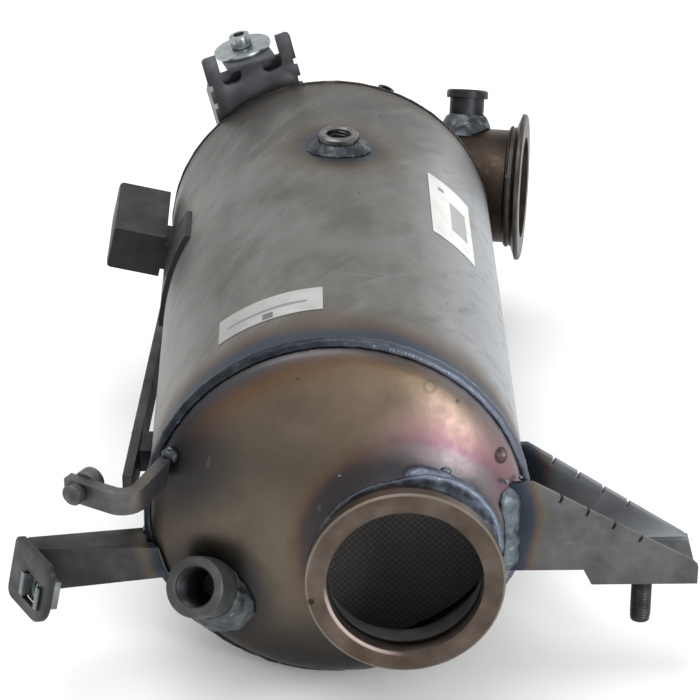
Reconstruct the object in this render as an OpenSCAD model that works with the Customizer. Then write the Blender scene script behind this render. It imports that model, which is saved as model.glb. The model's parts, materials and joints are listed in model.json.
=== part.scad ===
// Diesel particulate filter with its oxidation catalyst in one welded can.
// The can lies along Y. Gas comes in through the side pipe at the far end and leaves towards -Y.

/* [Can] */
// Outside diameter of the can
can_d = 152; // [146:1:160]
// Length of the can between its two ends
can_len = 258.5; // [250:0.5:290]
// Sheet thickness of the can and of both caps
sheet = 1.5; // [1.2:0.1:1.8]
// How far the skirt of each cap slips into the can
skirt_len = 10; // [7:1:13]
// Clearance all round between a piece and the hole, sleeve or wall that it sits in
slip = 0.15; // [0.1:0.05:0.3]
// Radius of the weld bead at the can's outlet rim
rim_bead = 2.9; // [2.6:0.1:3.4]
// Radius of the weld bead at the can's inlet rim
far_bead = 2.4; // [2.2:0.1:3]

/* [Filter and catalyst] */
// Thickness of the support mats
mat_t = 2.6; // [2:0.1:5]
// Free length between a cap's skirt and the monolith behind it
face_gap = 3; // [1:0.5:6]
// Place of the top sensor along the can
sensor_y = 184.5; // [175:0.5:200]
// Free length between the filter and the catalyst
sensor_gap = 30; // [26:1:36]

/* [Outlet cap] */
// Straight land of the cap in front of the can
cap_land = 3.5; // [3.4:0.1:5]
// Depth of the dome from the land to the start of the neck
dome_depth = 27; // [22:0.5:30]
// Length of the straight neck
neck_len = 10; // [9:0.5:14]
// Sideways offset of the outlet from the can's axis
outlet_x = 25.5; // [18:0.5:28]
// Height of the outlet above the can's axis
outlet_z = -4.5; // [-8:0.5:4]
// Upward tilt of the outlet flange
outlet_tilt = 4; // [0:0.5:6]

/* [Flanges] */
// Outside diameter of the outlet flange's lip
outlet_flange_d = 77.5; // [75:0.5:84]
// Bore of the outlet flange
outlet_bore_d = 60; // [55:0.5:61]
// Outside diameter of the inlet flange's lip
inlet_flange_d = 72; // [69:0.5:78]
// Bore of the inlet flange
inlet_bore_d = 49.5; // [45:0.5:52]
// Length of the outlet flange
flange_len = 14; // [12:0.5:18]
// Thickness of the outlet flange's lip
flange_lip = 6; // [4:0.5:7]
// Depth of the socket at the back of the outlet flange
socket_len = 6; // [4:0.5:7]
// Length of the inlet flange
inlet_flange_len = 6.5; // [6:0.5:12]
// Thickness of the inlet flange's lip
inlet_lip = 3; // [2.5:0.25:4]
// Depth of the socket at the back of the inlet flange
inlet_socket = 2.5; // [2:0.5:5]
// Wall of the outlet flange round its socket
flange_wall = 3; // [2.5:0.25:4]
// Wall of the inlet flange round its socket
inlet_wall = 1.5; // [1:0.25:3]
// Step from the bore out to the pipe's inside
bore_step = 1.5; // [1:0.25:2]
// Radius of the weld bead behind the outlet flange
flange_bead = 3; // [2:0.25:3.5]
// Radius of the weld bead behind the inlet flange
inlet_bead = 1.75; // [1.5:0.25:2.5]

/* [Inlet] */
// Depth of the inlet cap behind the can
inlet_depth = 90; // [88:1:110]
// Taper of the inlet cap's wall from the can's axis
inlet_taper = 24; // [20:1:26]
// Distance from the back of the inlet cap forward to the inlet pipe's axis
inlet_from_back = 37; // [34:1:40]
// Distance from the can's axis to the inlet mouth along the pipe
inlet_reach = 96.5; // [90:0.5:120]
// Height of the inlet pipe above the can's axis
inlet_z = 3.5; // [-4:0.5:6]
// Turn of the inlet pipe towards the outlet
inlet_turn = 9; // [0:1:12]

/* [Sensor bosses] */
// Outside diameter of the top boss
top_boss_d = 18; // [17:0.5:22]
// Thread bore of the top boss
top_thread_d = 11; // [10:0.5:13.5]
// Height of the top boss above the can
top_boss_h = 6.7; // [5:0.1:12]
// Turn of the top boss from straight up
top_turn = 2; // [-10:1:10]
// Outside diameter of the outlet boss
outlet_boss_d = 24.5; // [22:0.5:26]
// Thread bore of the outlet boss
outlet_thread_d = 16.5; // [14:0.5:18]
// Length of the outlet boss along its axis from the cap's skin
outlet_boss_h = 20; // [16:0.5:26]
// Shank diameter of the inlet boss
inlet_boss_d = 17; // [14:0.5:18]
// Collar diameter of the inlet boss
inlet_collar_d = 20.5; // [18.5:0.5:22]
// Thread bore of the inlet boss
inlet_thread_d = 10.5; // [8:0.5:12]
// Height of the inlet boss above the pipe
inlet_boss_h = 18.5; // [13:0.5:24]

/* [Right bracket] */
// Sheet thickness of the right bracket
right_t = 3; // [2:0.25:3.5]
// Length of the right bracket from the can's side
right_len = 68; // [60:1:80]
// Distance between the outer faces of the two walls
right_w = 34; // [28:1:40]
// Height of the walls at the can
right_h = 40; // [36:1:44]
// Thread diameter of the stud
stud_d = 8; // [6:0.5:10]
// Length of the stud below the bracket
stud_len = 27; // [15:1:35]

/* [Left brackets] */
// Sheet thickness of the channel, box and top brackets
bracket_t = 2.5; // [2:0.25:3]
// Length of the channel bracket from the can's side
channel_len = 46; // [40:1:56]
// Side of the square window in the channel's end plate
window_w = 12.3; // [11:0.1:14]
// Thickness of the hook arm's strap
strap_t = 5; // [4:0.25:6]
// Width of the hook arm's strap
strap_w = 9.5; // [8:0.5:14]
// Length of the box bracket along the can
box_len = 50; // [40:1:60]
// Radial depth of the box bracket
box_deep = 24.5; // [20:0.5:28]
// Width of the box bracket round the can
box_w = 20; // [16:0.5:24]
// Thickness of the side strut
strut_t = 4; // [3:0.25:5]
// Width of the side strut
strut_w = 14; // [10:0.5:16]

/* [Top bracket] */
// Width of the top bracket
top_w = 43.5; // [40:0.5:52]
// Height of the top bracket's plate above the can's axis
top_h = 90.5; // [89:0.5:98]
// Length of the top bracket along the can
top_len = 30; // [28:1:36]
// Rise of the corner posts above the plate
post_rise = 8; // [4:0.5:10]
// Washer diameter
washer_d = 27.5; // [20:0.5:29]
// Thread diameter of the bolt
top_bolt_d = 6; // [5:0.5:8]

/* [Hidden] */
$fn = 72;

steel = [0.56, 0.55, 0.53];
tan_steel = [0.52, 0.44, 0.34];
weld_blue = [0.28, 0.32, 0.38];
dark_sheet = [0.24, 0.25, 0.26];
zinc = [0.75, 0.77, 0.76];
brown_steel = [0.36, 0.29, 0.24];
cordierite = [0.30, 0.28, 0.26];
mat_white = [0.80, 0.79, 0.74];

far_past = 400;
can_sides = 180;
can_r = can_d / 2;
can_ri = can_r - sheet;
cap_r = can_ri - slip;
bead_out = can_r + 1.6;
far_bead_out = can_r + 0.6;
monolith_d = 2 * (can_ri - mat_t);
filter_y0 = skirt_len + face_gap;
filter_y1 = sensor_y - sensor_gap / 2;
catalyst_y0 = sensor_y + sensor_gap / 2;
catalyst_y1 = can_len - skirt_len - face_gap;

neck_d = outlet_bore_d + 2 * bore_step + 2 * sheet;
inlet_pipe_d = inlet_bore_d + 2 * bore_step + 2 * sheet;
neck_to_mouth = flange_len - socket_len;
inlet_to_mouth = inlet_flange_len - inlet_socket;
outlet_reach = cap_land + dome_depth + neck_len + neck_to_mouth;
mouth = [outlet_x, -outlet_reach, outlet_z];
outward = [0, -cos(outlet_tilt), sin(outlet_tilt)];
neck_root = mouth - outward * (neck_len + neck_to_mouth);

// Moves the axis frame, with the can's outlet edge at y = 0, so that the outlet mouth is the origin.
module in_row() {
  translate(-mouth) children();
}

// Stands things on the can's axis with their own z running away from the outlet, from y.
module along_can(y) {
  translate([0, y, 0]) rotate([-90, 0, 0]) children();
}

// Turns things about the can's axis: their z points outwards, turn degrees from straight up.
module round_can(turn, y) {
  rotate([0, turn, 0]) translate([0, y, 0]) children();
}

// Outlet mouth, with z out of the flange.
module at_outlet() {
  translate(mouth) rotate([90 - outlet_tilt, 0, 0]) children();
}

// Inlet pipe's axis, with z out along the pipe from above the can's axis and -x up.
module at_inlet() {
  translate([0, can_len + inlet_depth - inlet_from_back, inlet_z]) rotate([0, 90, -inlet_turn]) children();
}

module tube(d_out, d_in, h) {
  difference() {
    cylinder(d = d_out, h = h);
    translate([0, 0, -1]) cylinder(d = d_in, h = h + 2);
  }
}

module can_solid(grow) {
  along_can(0) cylinder(r = can_r + grow, h = can_len, $fn = can_sides);
}

// Space taken by the can and its outlet rim bead, which the brackets stay clear of.
module keep_off_can() {
  can_solid(slip);
  along_can(-rim_bead) cylinder(r = bead_out + slip, h = 2 * rim_bead);
}

// A plain cone round the outlet cap, for the pieces on the cap's steep left side.
module cap_cone() {
  wide = cap_r + cap_land / 2 + slip;
  along_can(-cap_land - dome_depth)
    cylinder(r1 = wide - dome_depth / 2, r2 = wide, h = cap_land + dome_depth);
}

module can_shell() {
  color(steel) difference() {
    can_solid(0);
    along_can(-1) cylinder(r = can_ri, h = can_len + 2, $fn = can_sides);
    round_can(top_turn, sensor_y) cylinder(d = top_boss_d + 2 * slip, h = far_past);
  }
}

// Outlet cap: a loft from the round skirt to the offset, tilted neck.
cap_sides = 60;
cap_steps = 10;
cap_rings = cap_steps + 3;

function ease(u) = u * u * (3 - 2 * u);

function cap_dome(a, u, wall) =
  let (
    s = ease(u),
    rim_x = (cap_r - wall) * cos(a),
    rim_z = (cap_r - wall) * sin(a),
    neck_r = neck_d / 2 - wall,
    root_x = neck_root.x + neck_r * cos(a),
    root_y = neck_root.y + neck_r * sin(a) * sin(outlet_tilt),
    root_z = neck_root.z + neck_r * sin(a) * cos(outlet_tilt),
    y = -cap_land + u * (root_y + cap_land) + wall * 3 * u * (1 - u)
  )
  [rim_x * (1 - s) + root_x * s, y, rim_z * (1 - s) + root_z * s];

function cap_point(ring, a, wall) =
  ring == 0 ? [(cap_r - wall) * cos(a), skirt_len, (cap_r - wall) * sin(a)]
  : ring <= cap_steps + 1 ? cap_dome(a, (ring - 1) / cap_steps, wall)
  : cap_dome(a, 1, wall) + outward * neck_len;

function cap_skin(wall) = [
  for (ring = [0 : cap_rings - 1])
    for (i = [0 : cap_sides - 1])
      cap_point(ring, 360 * i / cap_sides, wall)
];

function band(r0, r1) = [
  for (i = [0 : cap_sides - 1])
    let (j = (i + 1) % cap_sides)
      for (t = [0, 1])
        t == 0
          ? [r0 * cap_sides + i, r1 * cap_sides + i, r1 * cap_sides + j]
          : [r0 * cap_sides + i, r1 * cap_sides + j, r0 * cap_sides + j]
];

// The cap filled solid, for cutting what sits against its skin.
module cap_solid() {
  faces = [
    for (ring = [0 : cap_rings - 2])
      each band(ring, ring + 1)
  ];
  lids = [
    [for (i = [0 : cap_sides - 1]) i],
    [for (i = [0 : cap_sides - 1]) (cap_rings - 1) * cap_sides + cap_sides - 1 - i]
  ];
  polyhedron(cap_skin(0), concat(faces, lids));
}

module cap_sheet() {
  outer = [
    for (ring = [0 : cap_rings - 2])
      each band(ring, ring + 1)
  ];
  inner = [
    for (ring = [0 : cap_rings - 2])
      each band(cap_rings + ring + 1, cap_rings + ring)
  ];
  ends = concat(band(cap_rings, 0), band(cap_rings - 1, 2 * cap_rings - 1));
  polyhedron(concat(cap_skin(0), cap_skin(sheet)), concat(outer, inner, ends));
}

// The outlet boss stands on the cap's lower left, looking up and out.
outlet_boss_angle = 205;
outlet_boss_ratio = 0.35;
outlet_boss_turn = -115;
outlet_boss_rise = 31;
outlet_boss_inside = 9;

module at_outlet_boss() {
  translate(cap_dome(outlet_boss_angle, outlet_boss_ratio, 0))
    rotate([0, 90 - outlet_boss_rise, outlet_boss_turn])
      children();
}

module outlet_cap() {
  color(tan_steel) difference() {
    cap_sheet();
    at_outlet_boss()
      translate([0, 0, -far_past / 10]) cylinder(d = outlet_boss_d + 2 * slip, h = far_past / 5);
  }
}

// Inlet cap: skirt, shoulder, tapering wall and a rounded end, all turned about the can's axis.
shoulder_r = 14;
end_round = 18;

function inlet_profile(grow) =
  let (
    s = shoulder_r + grow,
    c = end_round + grow,
    r0 = cap_r - shoulder_r + s * cos(inlet_taper),
    q0 = s * sin(inlet_taper),
    end_q = inlet_depth - end_round,
    tangent_q = end_q + c * sin(inlet_taper),
    tangent_r = r0 - (tangent_q - q0) * tan(inlet_taper),
    end_r = tangent_r - c * cos(inlet_taper)
  )
  concat(
    [[0, -skirt_len], [cap_r + grow, -skirt_len]],
    [for (k = [0 : 4]) let (a = inlet_taper * k / 4) [cap_r - shoulder_r + s * cos(a), s * sin(a)]],
    [for (k = [0 : 6])
      let (a = inlet_taper + (90 - inlet_taper) * k / 6)
        [end_r + c * cos(a), end_q + c * sin(a)]],
    [[0, inlet_depth + grow]]
  );

module inlet_dome(grow) {
  along_can(can_len) rotate_extrude() polygon(inlet_profile(grow));
}

stub_d = 8;
stub_bore = 5;
stub_turn = 21;
stub_back = 9;
stub_low = 2.5;
stub_in = 16;

module inlet_cap() {
  color(brown_steel) difference() {
    inlet_dome(0);
    inlet_dome(-sheet);
    along_can(can_len - skirt_len - 1) cylinder(r = cap_r - sheet, h = 2);
    at_inlet() cylinder(d = inlet_pipe_d + 2 * slip, h = far_past);
    round_can(stub_turn, can_len + stub_back) cylinder(d = stub_d + 2 * slip, h = far_past);
  }
}

module pressure_stub() {
  color(dark_sheet) round_can(stub_turn, can_len + stub_back) difference() {
    cylinder(d = stub_d, h = can_r - stub_low);
    translate([0, 0, -1]) cylinder(d = stub_bore, h = far_past);
    cylinder(d = 2 * stub_d, h = can_r - stub_in);
  }
}

// A turned flange with its mouth at z = 0 and its socket at the back.
module vband_flange(lip_d, bore_d, pipe_d, length, lip, socket, wall) {
  lip_r = lip_d / 2;
  body_r = pipe_d / 2 + wall;
  taper = (lip_r - body_r) * tan(20);
  chamfer = 0.8;
  rotate_extrude() polygon([
    [bore_d / 2, socket - length],
    [bore_d / 2, 0],
    [lip_r - chamfer, 0],
    [lip_r, -chamfer],
    [lip_r, chamfer - lip],
    [body_r, chamfer - lip - taper],
    [body_r, -length],
    [pipe_d / 2 + slip, -length],
    [pipe_d / 2 + slip, socket - length]
  ]);
}

module outlet_flange() {
  color(tan_steel) at_outlet()
    vband_flange(outlet_flange_d, outlet_bore_d, neck_d, flange_len, flange_lip, socket_len, flange_wall);
}

module inlet_flange() {
  color(brown_steel) at_inlet() translate([0, 0, inlet_reach])
    vband_flange(
      inlet_flange_d, inlet_bore_d, inlet_pipe_d, inlet_flange_len, inlet_lip, inlet_socket, inlet_wall
    );
}

// The boss on the inlet pipe leans back from straight up.
inlet_boss_along = 66;
inlet_boss_lean = 25;
collar_h = 4;

module at_inlet_boss() {
  at_inlet() translate([0, 0, inlet_boss_along]) rotate([0, 0, -inlet_boss_lean]) rotate([0, -90, 0])
    children();
}

module inlet_pipe() {
  color(brown_steel) difference() {
    at_inlet() tube(inlet_pipe_d, inlet_pipe_d - 2 * sheet, inlet_reach - inlet_to_mouth);
    inlet_dome(-sheet);
    at_inlet_boss() cylinder(d = inlet_boss_d + 2 * slip, h = far_past);
  }
}

module filter_monolith() {
  color(cordierite) along_can(filter_y0) cylinder(d = monolith_d, h = filter_y1 - filter_y0);
}

module catalyst_monolith() {
  color(cordierite) along_can(catalyst_y0) cylinder(d = monolith_d, h = catalyst_y1 - catalyst_y0);
}

// A mat stops a little short of its monolith at both ends.
mat_short = 4;

module mat(y0, y1) {
  color(mat_white) along_can(y0 + mat_short)
    tube(2 * can_ri - 2 * slip, monolith_d + 2 * slip, y1 - y0 - 2 * mat_short);
}

module filter_mat() {
  mat(filter_y0, filter_y1);
}

module catalyst_mat() {
  mat(catalyst_y0, catalyst_y1);
}

// Rim bead: a round run that fills the corner of the can's edge and the cap's skirt, z towards the cap.
module rim_bead_ring(bead, out) {
  rotate_extrude() difference() {
    translate([out - bead, 0]) circle(r = bead);
    translate([0, -far_past]) square([can_r, far_past]);
    square([cap_r, far_past]);
  }
}

module outlet_rim_weld() {
  color(weld_blue) rotate([90, 0, 0]) rim_bead_ring(rim_bead, bead_out);
}

module inlet_rim_weld() {
  color(weld_blue) along_can(can_len) rim_bead_ring(far_bead, far_bead_out);
}

// Bead round a pipe behind its flange.
module flange_bead_ring(pipe_d, length, bead) {
  rotate_extrude() difference() {
    translate([pipe_d / 2 + bead / 3, -length]) circle(r = bead);
    translate([0, -length]) square(far_past);
    translate([0, -far_past]) square([pipe_d / 2, 2 * far_past]);
  }
}

// The outlet flange's bead has a thick run on its upper right, drawn as a second ring set off centre.
thick_bead = 4.6;
thick_ring_r = neck_d / 2 - 8;
thick_shift = 12.2;
thick_angle = 50;

module outlet_flange_weld() {
  room = neck_len - socket_len - slip;
  color(weld_blue) at_outlet() translate([0, 0, -flange_len]) difference() {
    union() {
      rotate_extrude() translate([neck_d / 2 + flange_bead / 3, 0]) circle(r = flange_bead);
      rotate([0, 0, thick_angle]) translate([thick_shift, 0, 0])
        rotate_extrude() translate([thick_ring_r, 0]) circle(r = thick_bead);
    }
    cylinder(d = 2 * outlet_flange_d, h = far_past);
    translate([0, 0, -far_past / 2]) cylinder(d = neck_d, h = far_past);
    translate([0, 0, -room - far_past]) cylinder(d = 2 * outlet_flange_d, h = far_past);
  }
}

module inlet_flange_weld() {
  color(weld_blue) at_inlet() translate([0, 0, inlet_reach])
    flange_bead_ring(inlet_pipe_d, inlet_flange_len, inlet_bead);
}

pipe_bead = 4;

module inlet_pipe_weld() {
  color(weld_blue) difference() {
    intersection() {
      inlet_dome(pipe_bead);
      at_inlet() cylinder(d = inlet_pipe_d + 2 * pipe_bead, h = inlet_reach - inlet_flange_len - inlet_bead);
    }
    at_inlet() cylinder(d = inlet_pipe_d, h = far_past);
    inlet_dome(0);
    can_solid(pipe_bead);
    along_can(can_len) cylinder(r = far_bead_out + slip, h = far_bead);
  }
}

top_boss_inside = 3;
boss_chamfer = 0.8;

// A threaded boss from z = 0, with both ends of its bore chamfered.
module boss(d, bore, h) {
  rotate_extrude() polygon([
    [bore / 2 + boss_chamfer, 0],
    [d / 2, 0],
    [d / 2, h - boss_chamfer],
    [d / 2 - boss_chamfer, h],
    [bore / 2 + boss_chamfer, h],
    [bore / 2, h - boss_chamfer],
    [bore / 2, boss_chamfer]
  ]);
}

module top_sensor_boss() {
  color(steel) round_can(top_turn, sensor_y) translate([0, 0, can_ri - top_boss_inside])
    boss(top_boss_d, top_thread_d, top_boss_h + sheet + top_boss_inside);
}

// A fillet weld round a boss: a cone that the boss and the wall are taken out of.
boss_bead = 4.5;

module top_boss_weld() {
  color(weld_blue) difference() {
    round_can(top_turn, sensor_y) translate([0, 0, can_r - boss_bead])
      cylinder(d1 = top_boss_d + 4 * boss_bead, d2 = top_boss_d, h = 2 * boss_bead);
    round_can(top_turn, sensor_y) cylinder(d = top_boss_d, h = far_past);
    can_solid(0);
  }
}

module outlet_sensor_boss() {
  color(dark_sheet) at_outlet_boss() translate([0, 0, -outlet_boss_inside])
    boss(outlet_boss_d, outlet_thread_d, outlet_boss_h + outlet_boss_inside);
}

outlet_bead_w = 6;
outlet_bead_h = 6;

module outlet_boss_weld() {
  color(weld_blue) difference() {
    at_outlet_boss() translate([0, 0, -outlet_boss_inside])
      cylinder(
        d1 = outlet_boss_d + 2 * outlet_bead_w,
        d2 = outlet_boss_d,
        h = outlet_boss_inside + outlet_bead_h
      );
    at_outlet_boss() translate([0, 0, -far_past / 2]) cylinder(d = outlet_boss_d, h = far_past);
    cap_solid();
    along_can(-rim_bead) cylinder(r = bead_out + slip, h = far_past);
  }
}

inlet_boss_inside = 2.5;

module inlet_sensor_boss() {
  foot = inlet_pipe_d / 2 - sheet - inlet_boss_inside;
  top = inlet_pipe_d / 2 + inlet_boss_h;
  color(dark_sheet) at_inlet_boss() rotate_extrude() polygon([
    [inlet_thread_d / 2, foot],
    [inlet_boss_d / 2, foot],
    [inlet_boss_d / 2, top - collar_h],
    [inlet_collar_d / 2, top - collar_h],
    [inlet_collar_d / 2, top - boss_chamfer],
    [inlet_collar_d / 2 - boss_chamfer, top],
    [inlet_thread_d / 2, top]
  ]);
}

inlet_bead_h = 7;

module inlet_boss_weld() {
  bead_low = inlet_pipe_d / 2 - inlet_bead_h;
  color(weld_blue) difference() {
    at_inlet_boss() translate([0, 0, bead_low])
      cylinder(d1 = inlet_boss_d + 4 * boss_bead, d2 = inlet_boss_d, h = 2 * inlet_bead_h);
    at_inlet_boss() cylinder(d = inlet_boss_d, h = far_past);
    at_inlet() cylinder(d = inlet_pipe_d, h = far_past);
    inlet_dome(pipe_bead);
    along_can(can_len) cylinder(r = far_bead_out + slip, h = far_bead);
  }
}

// Right bracket: a channel folded from one sheet, its walls sloping down to a flat foot with a stud.
right_y0 = -12.5;
right_top = 18;
right_step_x = 22;
right_step = 7;
right_tip_h = 10;
rear_tip_h = 4;
notch_pitch = 12.4;
notch_w = 1.2;
notch_deep = 2.5;
right_x1 = can_r + right_len;
right_low = right_top - right_h;
foot_low = right_low - right_step;

module right_wall(tip_h) {
  slope = atan2(right_h + right_step - tip_h, right_len - 3);
  difference() {
    rotate([90, 0, 0]) mirror([0, 0, 1]) linear_extrude(right_t) polygon([
      [0, right_top],
      [can_r + 1, right_top],
      [right_x1 - 2, foot_low + tip_h],
      [right_x1, foot_low + tip_h - 2],
      [right_x1, foot_low],
      [can_r + right_step_x + right_step / 2, foot_low],
      [can_r + right_step_x, right_low],
      [0, right_low]
    ]);
    for (run = [notch_pitch : notch_pitch : right_len - notch_pitch / 2])
      translate([can_r + 1, 0, right_top]) rotate([0, slope, 0]) translate([run, -1, -notch_deep])
        cube([notch_w, right_t + 2, 2 * notch_deep]);
  }
}

module right_floor() {
  translate([0, right_w, 0]) rotate([90, 0, 0]) linear_extrude(right_w) polygon([
    [0, right_low],
    [can_r + right_step_x, right_low],
    [can_r + right_step_x + right_step / 2, foot_low],
    [right_x1, foot_low],
    [right_x1, foot_low + right_t],
    [can_r + right_step_x + right_step / 2 + right_t / 2, foot_low + right_t],
    [can_r + right_step_x + right_t / 2, right_low + right_t],
    [0, right_low + right_t]
  ]);
}

stud_in = 20;
stud_neck_d = stud_d + 1;
stud_head_d = stud_d + 5;
stud_head_h = 3;

module at_stud() {
  translate([right_x1 - stud_in, right_y0 + right_w / 2, foot_low]) children();
}

module right_bracket() {
  color(dark_sheet) difference() {
    translate([0, right_y0, 0]) {
      right_wall(right_tip_h);
      translate([0, right_w - right_t, 0]) right_wall(rear_tip_h);
      right_floor();
    }
    keep_off_can();
    translate([slip, -slip, 0]) cap_solid();
    at_stud() translate([0, 0, -1]) cylinder(d = stud_neck_d + 2 * slip, h = far_past);
  }
}

module right_stud() {
  color(dark_sheet) at_stud() {
    translate([0, 0, -stud_len]) cylinder(d = stud_d, h = stud_len);
    cylinder(d = stud_neck_d, h = right_t + slip);
    translate([0, 0, right_t + slip]) cylinder(d = stud_head_d, h = stud_head_h);
  }
}

right_bead = 7.5;
right_bead_in = 9.5;
right_bead_sink = 2;

module right_bracket_weld() {
  run = right_h - 2 * right_bead;
  color(weld_blue) difference() {
    translate([cap_r - right_bead_in, right_y0 + right_bead_sink, right_low + right_bead]) {
      cylinder(r = right_bead, h = run);
      sphere(r = right_bead);
      translate([0, 0, run]) sphere(r = right_bead);
    }
    cap_solid();
    translate([0, right_y0, -far_past]) cube(2 * far_past);
  }
}

// Channel bracket: an angle arm along -x, with an end plate that holds a cage nut.
channel_top = -13;
channel_y0 = -7.5;
channel_wall_h = 14;
channel_wall_tip = 19;
channel_flange = 16;
channel_flange_tip = 9;
plate_left = 19;
plate_right = 13.5;
plate_up = 16;
plate_down = 11;
plate_round = 10;
plate_turn = 60;
plate_rise = 13;
plate_fore = 11;
plate_low = 12.5;
channel_x1 = -can_r - channel_len;

// End plate's frame: z out of the plate's outer face, x across it, y up it, from the window's centre.
module at_plate() {
  translate([channel_x1, channel_y0 - plate_fore, channel_top - plate_low])
    rotate([0, 0, -plate_turn]) rotate([90 - plate_rise, 0, 0])
      children();
}

plate_corner = 4;

function corner(x, y, r, from_angle) = [
  for (k = [0 : 6])
    let (a = from_angle + 15 * k)
      [x + r * cos(a), y + r * sin(a)]
];

module plate_outline() {
  difference() {
    polygon(concat(
      corner(plate_right - plate_corner, plate_up - plate_corner, plate_corner, 0),
      corner(plate_corner - plate_left, plate_up - plate_corner, plate_corner, 90),
      corner(plate_corner - plate_left, plate_corner - plate_down, plate_corner, 180),
      corner(plate_right - plate_round, plate_round - plate_down, plate_round, 270)
    ));
    square(window_w, center = true);
  }
}

module channel_bracket() {
  color(dark_sheet) difference() {
    union() {
      translate([0, channel_y0 + bracket_t, 0]) rotate([90, 0, 0]) linear_extrude(bracket_t) polygon([
        [0, channel_top],
        [channel_x1 - 4, channel_top],
        [channel_x1 - 4, channel_top - channel_wall_tip],
        [channel_x1 + 10, channel_top - channel_wall_tip],
        [-can_r + 6, channel_top - channel_wall_h],
        [0, channel_top - channel_wall_h]
      ]);
      translate([0, 0, channel_top - bracket_t]) linear_extrude(bracket_t) polygon([
        [0, channel_y0],
        [channel_x1 - 6, channel_y0],
        [channel_x1 - 2, channel_y0 + channel_flange_tip],
        [-can_r, channel_y0 + channel_flange],
        [0, channel_y0 + channel_flange]
      ]);
      at_plate() translate([0, 0, -bracket_t]) linear_extrude(bracket_t) plate_outline();
    }
    keep_off_can();
    cap_cone();
    at_plate() cylinder(d = 4 * plate_left, h = far_past);
  }
}

channel_bead = 2.6;

module channel_weld() {
  reach = sqrt(can_r * can_r - channel_top * channel_top);
  run = channel_flange + channel_y0 - rim_bead - 1;
  color(weld_blue) translate([0, rim_bead + 0.5, 0]) rotate([-90, 0, 0]) linear_extrude(run) difference() {
    translate([-reach - 1, -channel_top]) circle(r = channel_bead);
    circle(r = can_r, $fn = can_sides);
    translate([-far_past, -channel_top]) square([2 * far_past, far_past]);
  }
}

clip_t = 1;
nut_w = 10;
nut_h = 6;
nut_bore = 6.8;
clip_lip = 2;

// Spring clip: a tray behind the plate, with two legs through the window and lips over its edges.
module cage_clip() {
  tray = nut_w + 2 * slip;
  edge = window_w - 2 * slip;
  leg = (edge - nut_w) / 2 - slip;
  low = -bracket_t - nut_h - clip_t - slip;
  color(zinc) at_plate() {
    difference() {
      translate([-edge / 2, -tray / 2 - clip_t, low])
        cube([edge, tray + 2 * clip_t - 2 * slip, nut_h + clip_t]);
      translate([-edge, -tray / 2, low + clip_t])
        cube([2 * edge, tray - 2 * slip, 2 * nut_h]);
      translate([0, 0, -far_past / 2]) cylinder(d = nut_bore + 2, h = far_past);
    }
    for (side = [0, 1])
      mirror([side, 0, 0]) {
        translate([edge / 2 - leg, -nut_w / 2, low]) cube([leg, nut_w - 2 * slip, slip + clip_t - low]);
        translate([edge / 2 - leg, -nut_w / 2, slip]) cube([leg + clip_lip, nut_w - 2 * slip, clip_t]);
      }
  }
}

module cage_nut() {
  color(zinc) at_plate() translate([0, 0, -bracket_t - nut_h]) difference() {
    translate([-nut_w / 2, -nut_w / 2, 0]) cube([nut_w, nut_w - 2 * slip, nut_h - slip]);
    translate([0, 0, -1]) cylinder(d = nut_bore, h = far_past);
  }
}

// Hook arm: a strap on edge that leaves the can's rim, runs forwards and turns back on itself.
hook_top = 29.5;
hook_y0 = 1.5;
hook_root_in = 13.5;
hook_turn = -114.3;
hook_run = 34.4;
hook_bend_angle = 97;
elbow_r = 7;
hook_tail = 21;
hook_hole = 6;
hook_bolt_in = 6;
hook_bolt_up = 5.5;

module hook_start() {
  translate([hook_root_in - can_r, hook_y0, hook_top - strap_w]) rotate([0, 0, hook_turn]) children();
}

module hook_elbow() {
  hook_start() translate([hook_run, -elbow_r, 0]) children();
}

module hook_tail_frame() {
  hook_elbow() rotate([0, 0, -hook_bend_angle]) translate([0, elbow_r, 0]) children();
}

// Middle of the tail's hole, with z out of the strap's outer face.
module at_hook_hole() {
  hook_tail_frame() translate([hook_tail - hook_bolt_in, strap_t / 2, hook_bolt_up]) rotate([-90, 0, 0])
    children();
}

// The strap's edge line, from its root through the bend to the end of its tail.
bend_steps = 10;

function bend_point(k, r) =
  let (a = 90 - hook_bend_angle * k / bend_steps)
  [hook_run + r * cos(a), r * sin(a) - elbow_r];

module strap_outline() {
  outer_r = elbow_r + strap_t / 2;
  inner_r = elbow_r - strap_t / 2;
  tail = hook_tail * [cos(hook_bend_angle), -sin(hook_bend_angle)];
  polygon(concat(
    [[0, strap_t / 2]],
    [for (k = [0 : bend_steps]) bend_point(k, outer_r)],
    [bend_point(bend_steps, outer_r) + tail, bend_point(bend_steps, inner_r) + tail],
    [for (k = [bend_steps : -1 : 0]) bend_point(k, inner_r)],
    [[0, -strap_t / 2]]
  ));
}

module hook_arm() {
  color(dark_sheet) difference() {
    hook_start() linear_extrude(strap_w) strap_outline();
    translate([-far_past, -rim_bead - slip, -far_past]) cube(2 * far_past);
    cap_cone();
    at_hook_hole() translate([0, 0, -far_past / 20]) cylinder(d = hook_hole + 2 * slip, h = far_past / 10);
  }
}

// Blob that ends the strap's weld on the cap's skin.
hook_weld_r = 3.6;
hook_weld_angle = 156;
hook_weld_ratio = 0.12;

module hook_weld() {
  color(weld_blue) difference() {
    translate(cap_dome(hook_weld_angle, hook_weld_ratio, 0)) sphere(r = hook_weld_r);
    keep_off_can();
    cap_solid();
    hook_start() translate([-far_past / 2, -strap_t / 2, 0]) cube([far_past, strap_t, strap_w]);
  }
}

hook_head_d = 8.5;
hook_head_h = 4;
hook_nut_d = 11;
hook_nut_h = 6;

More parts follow.
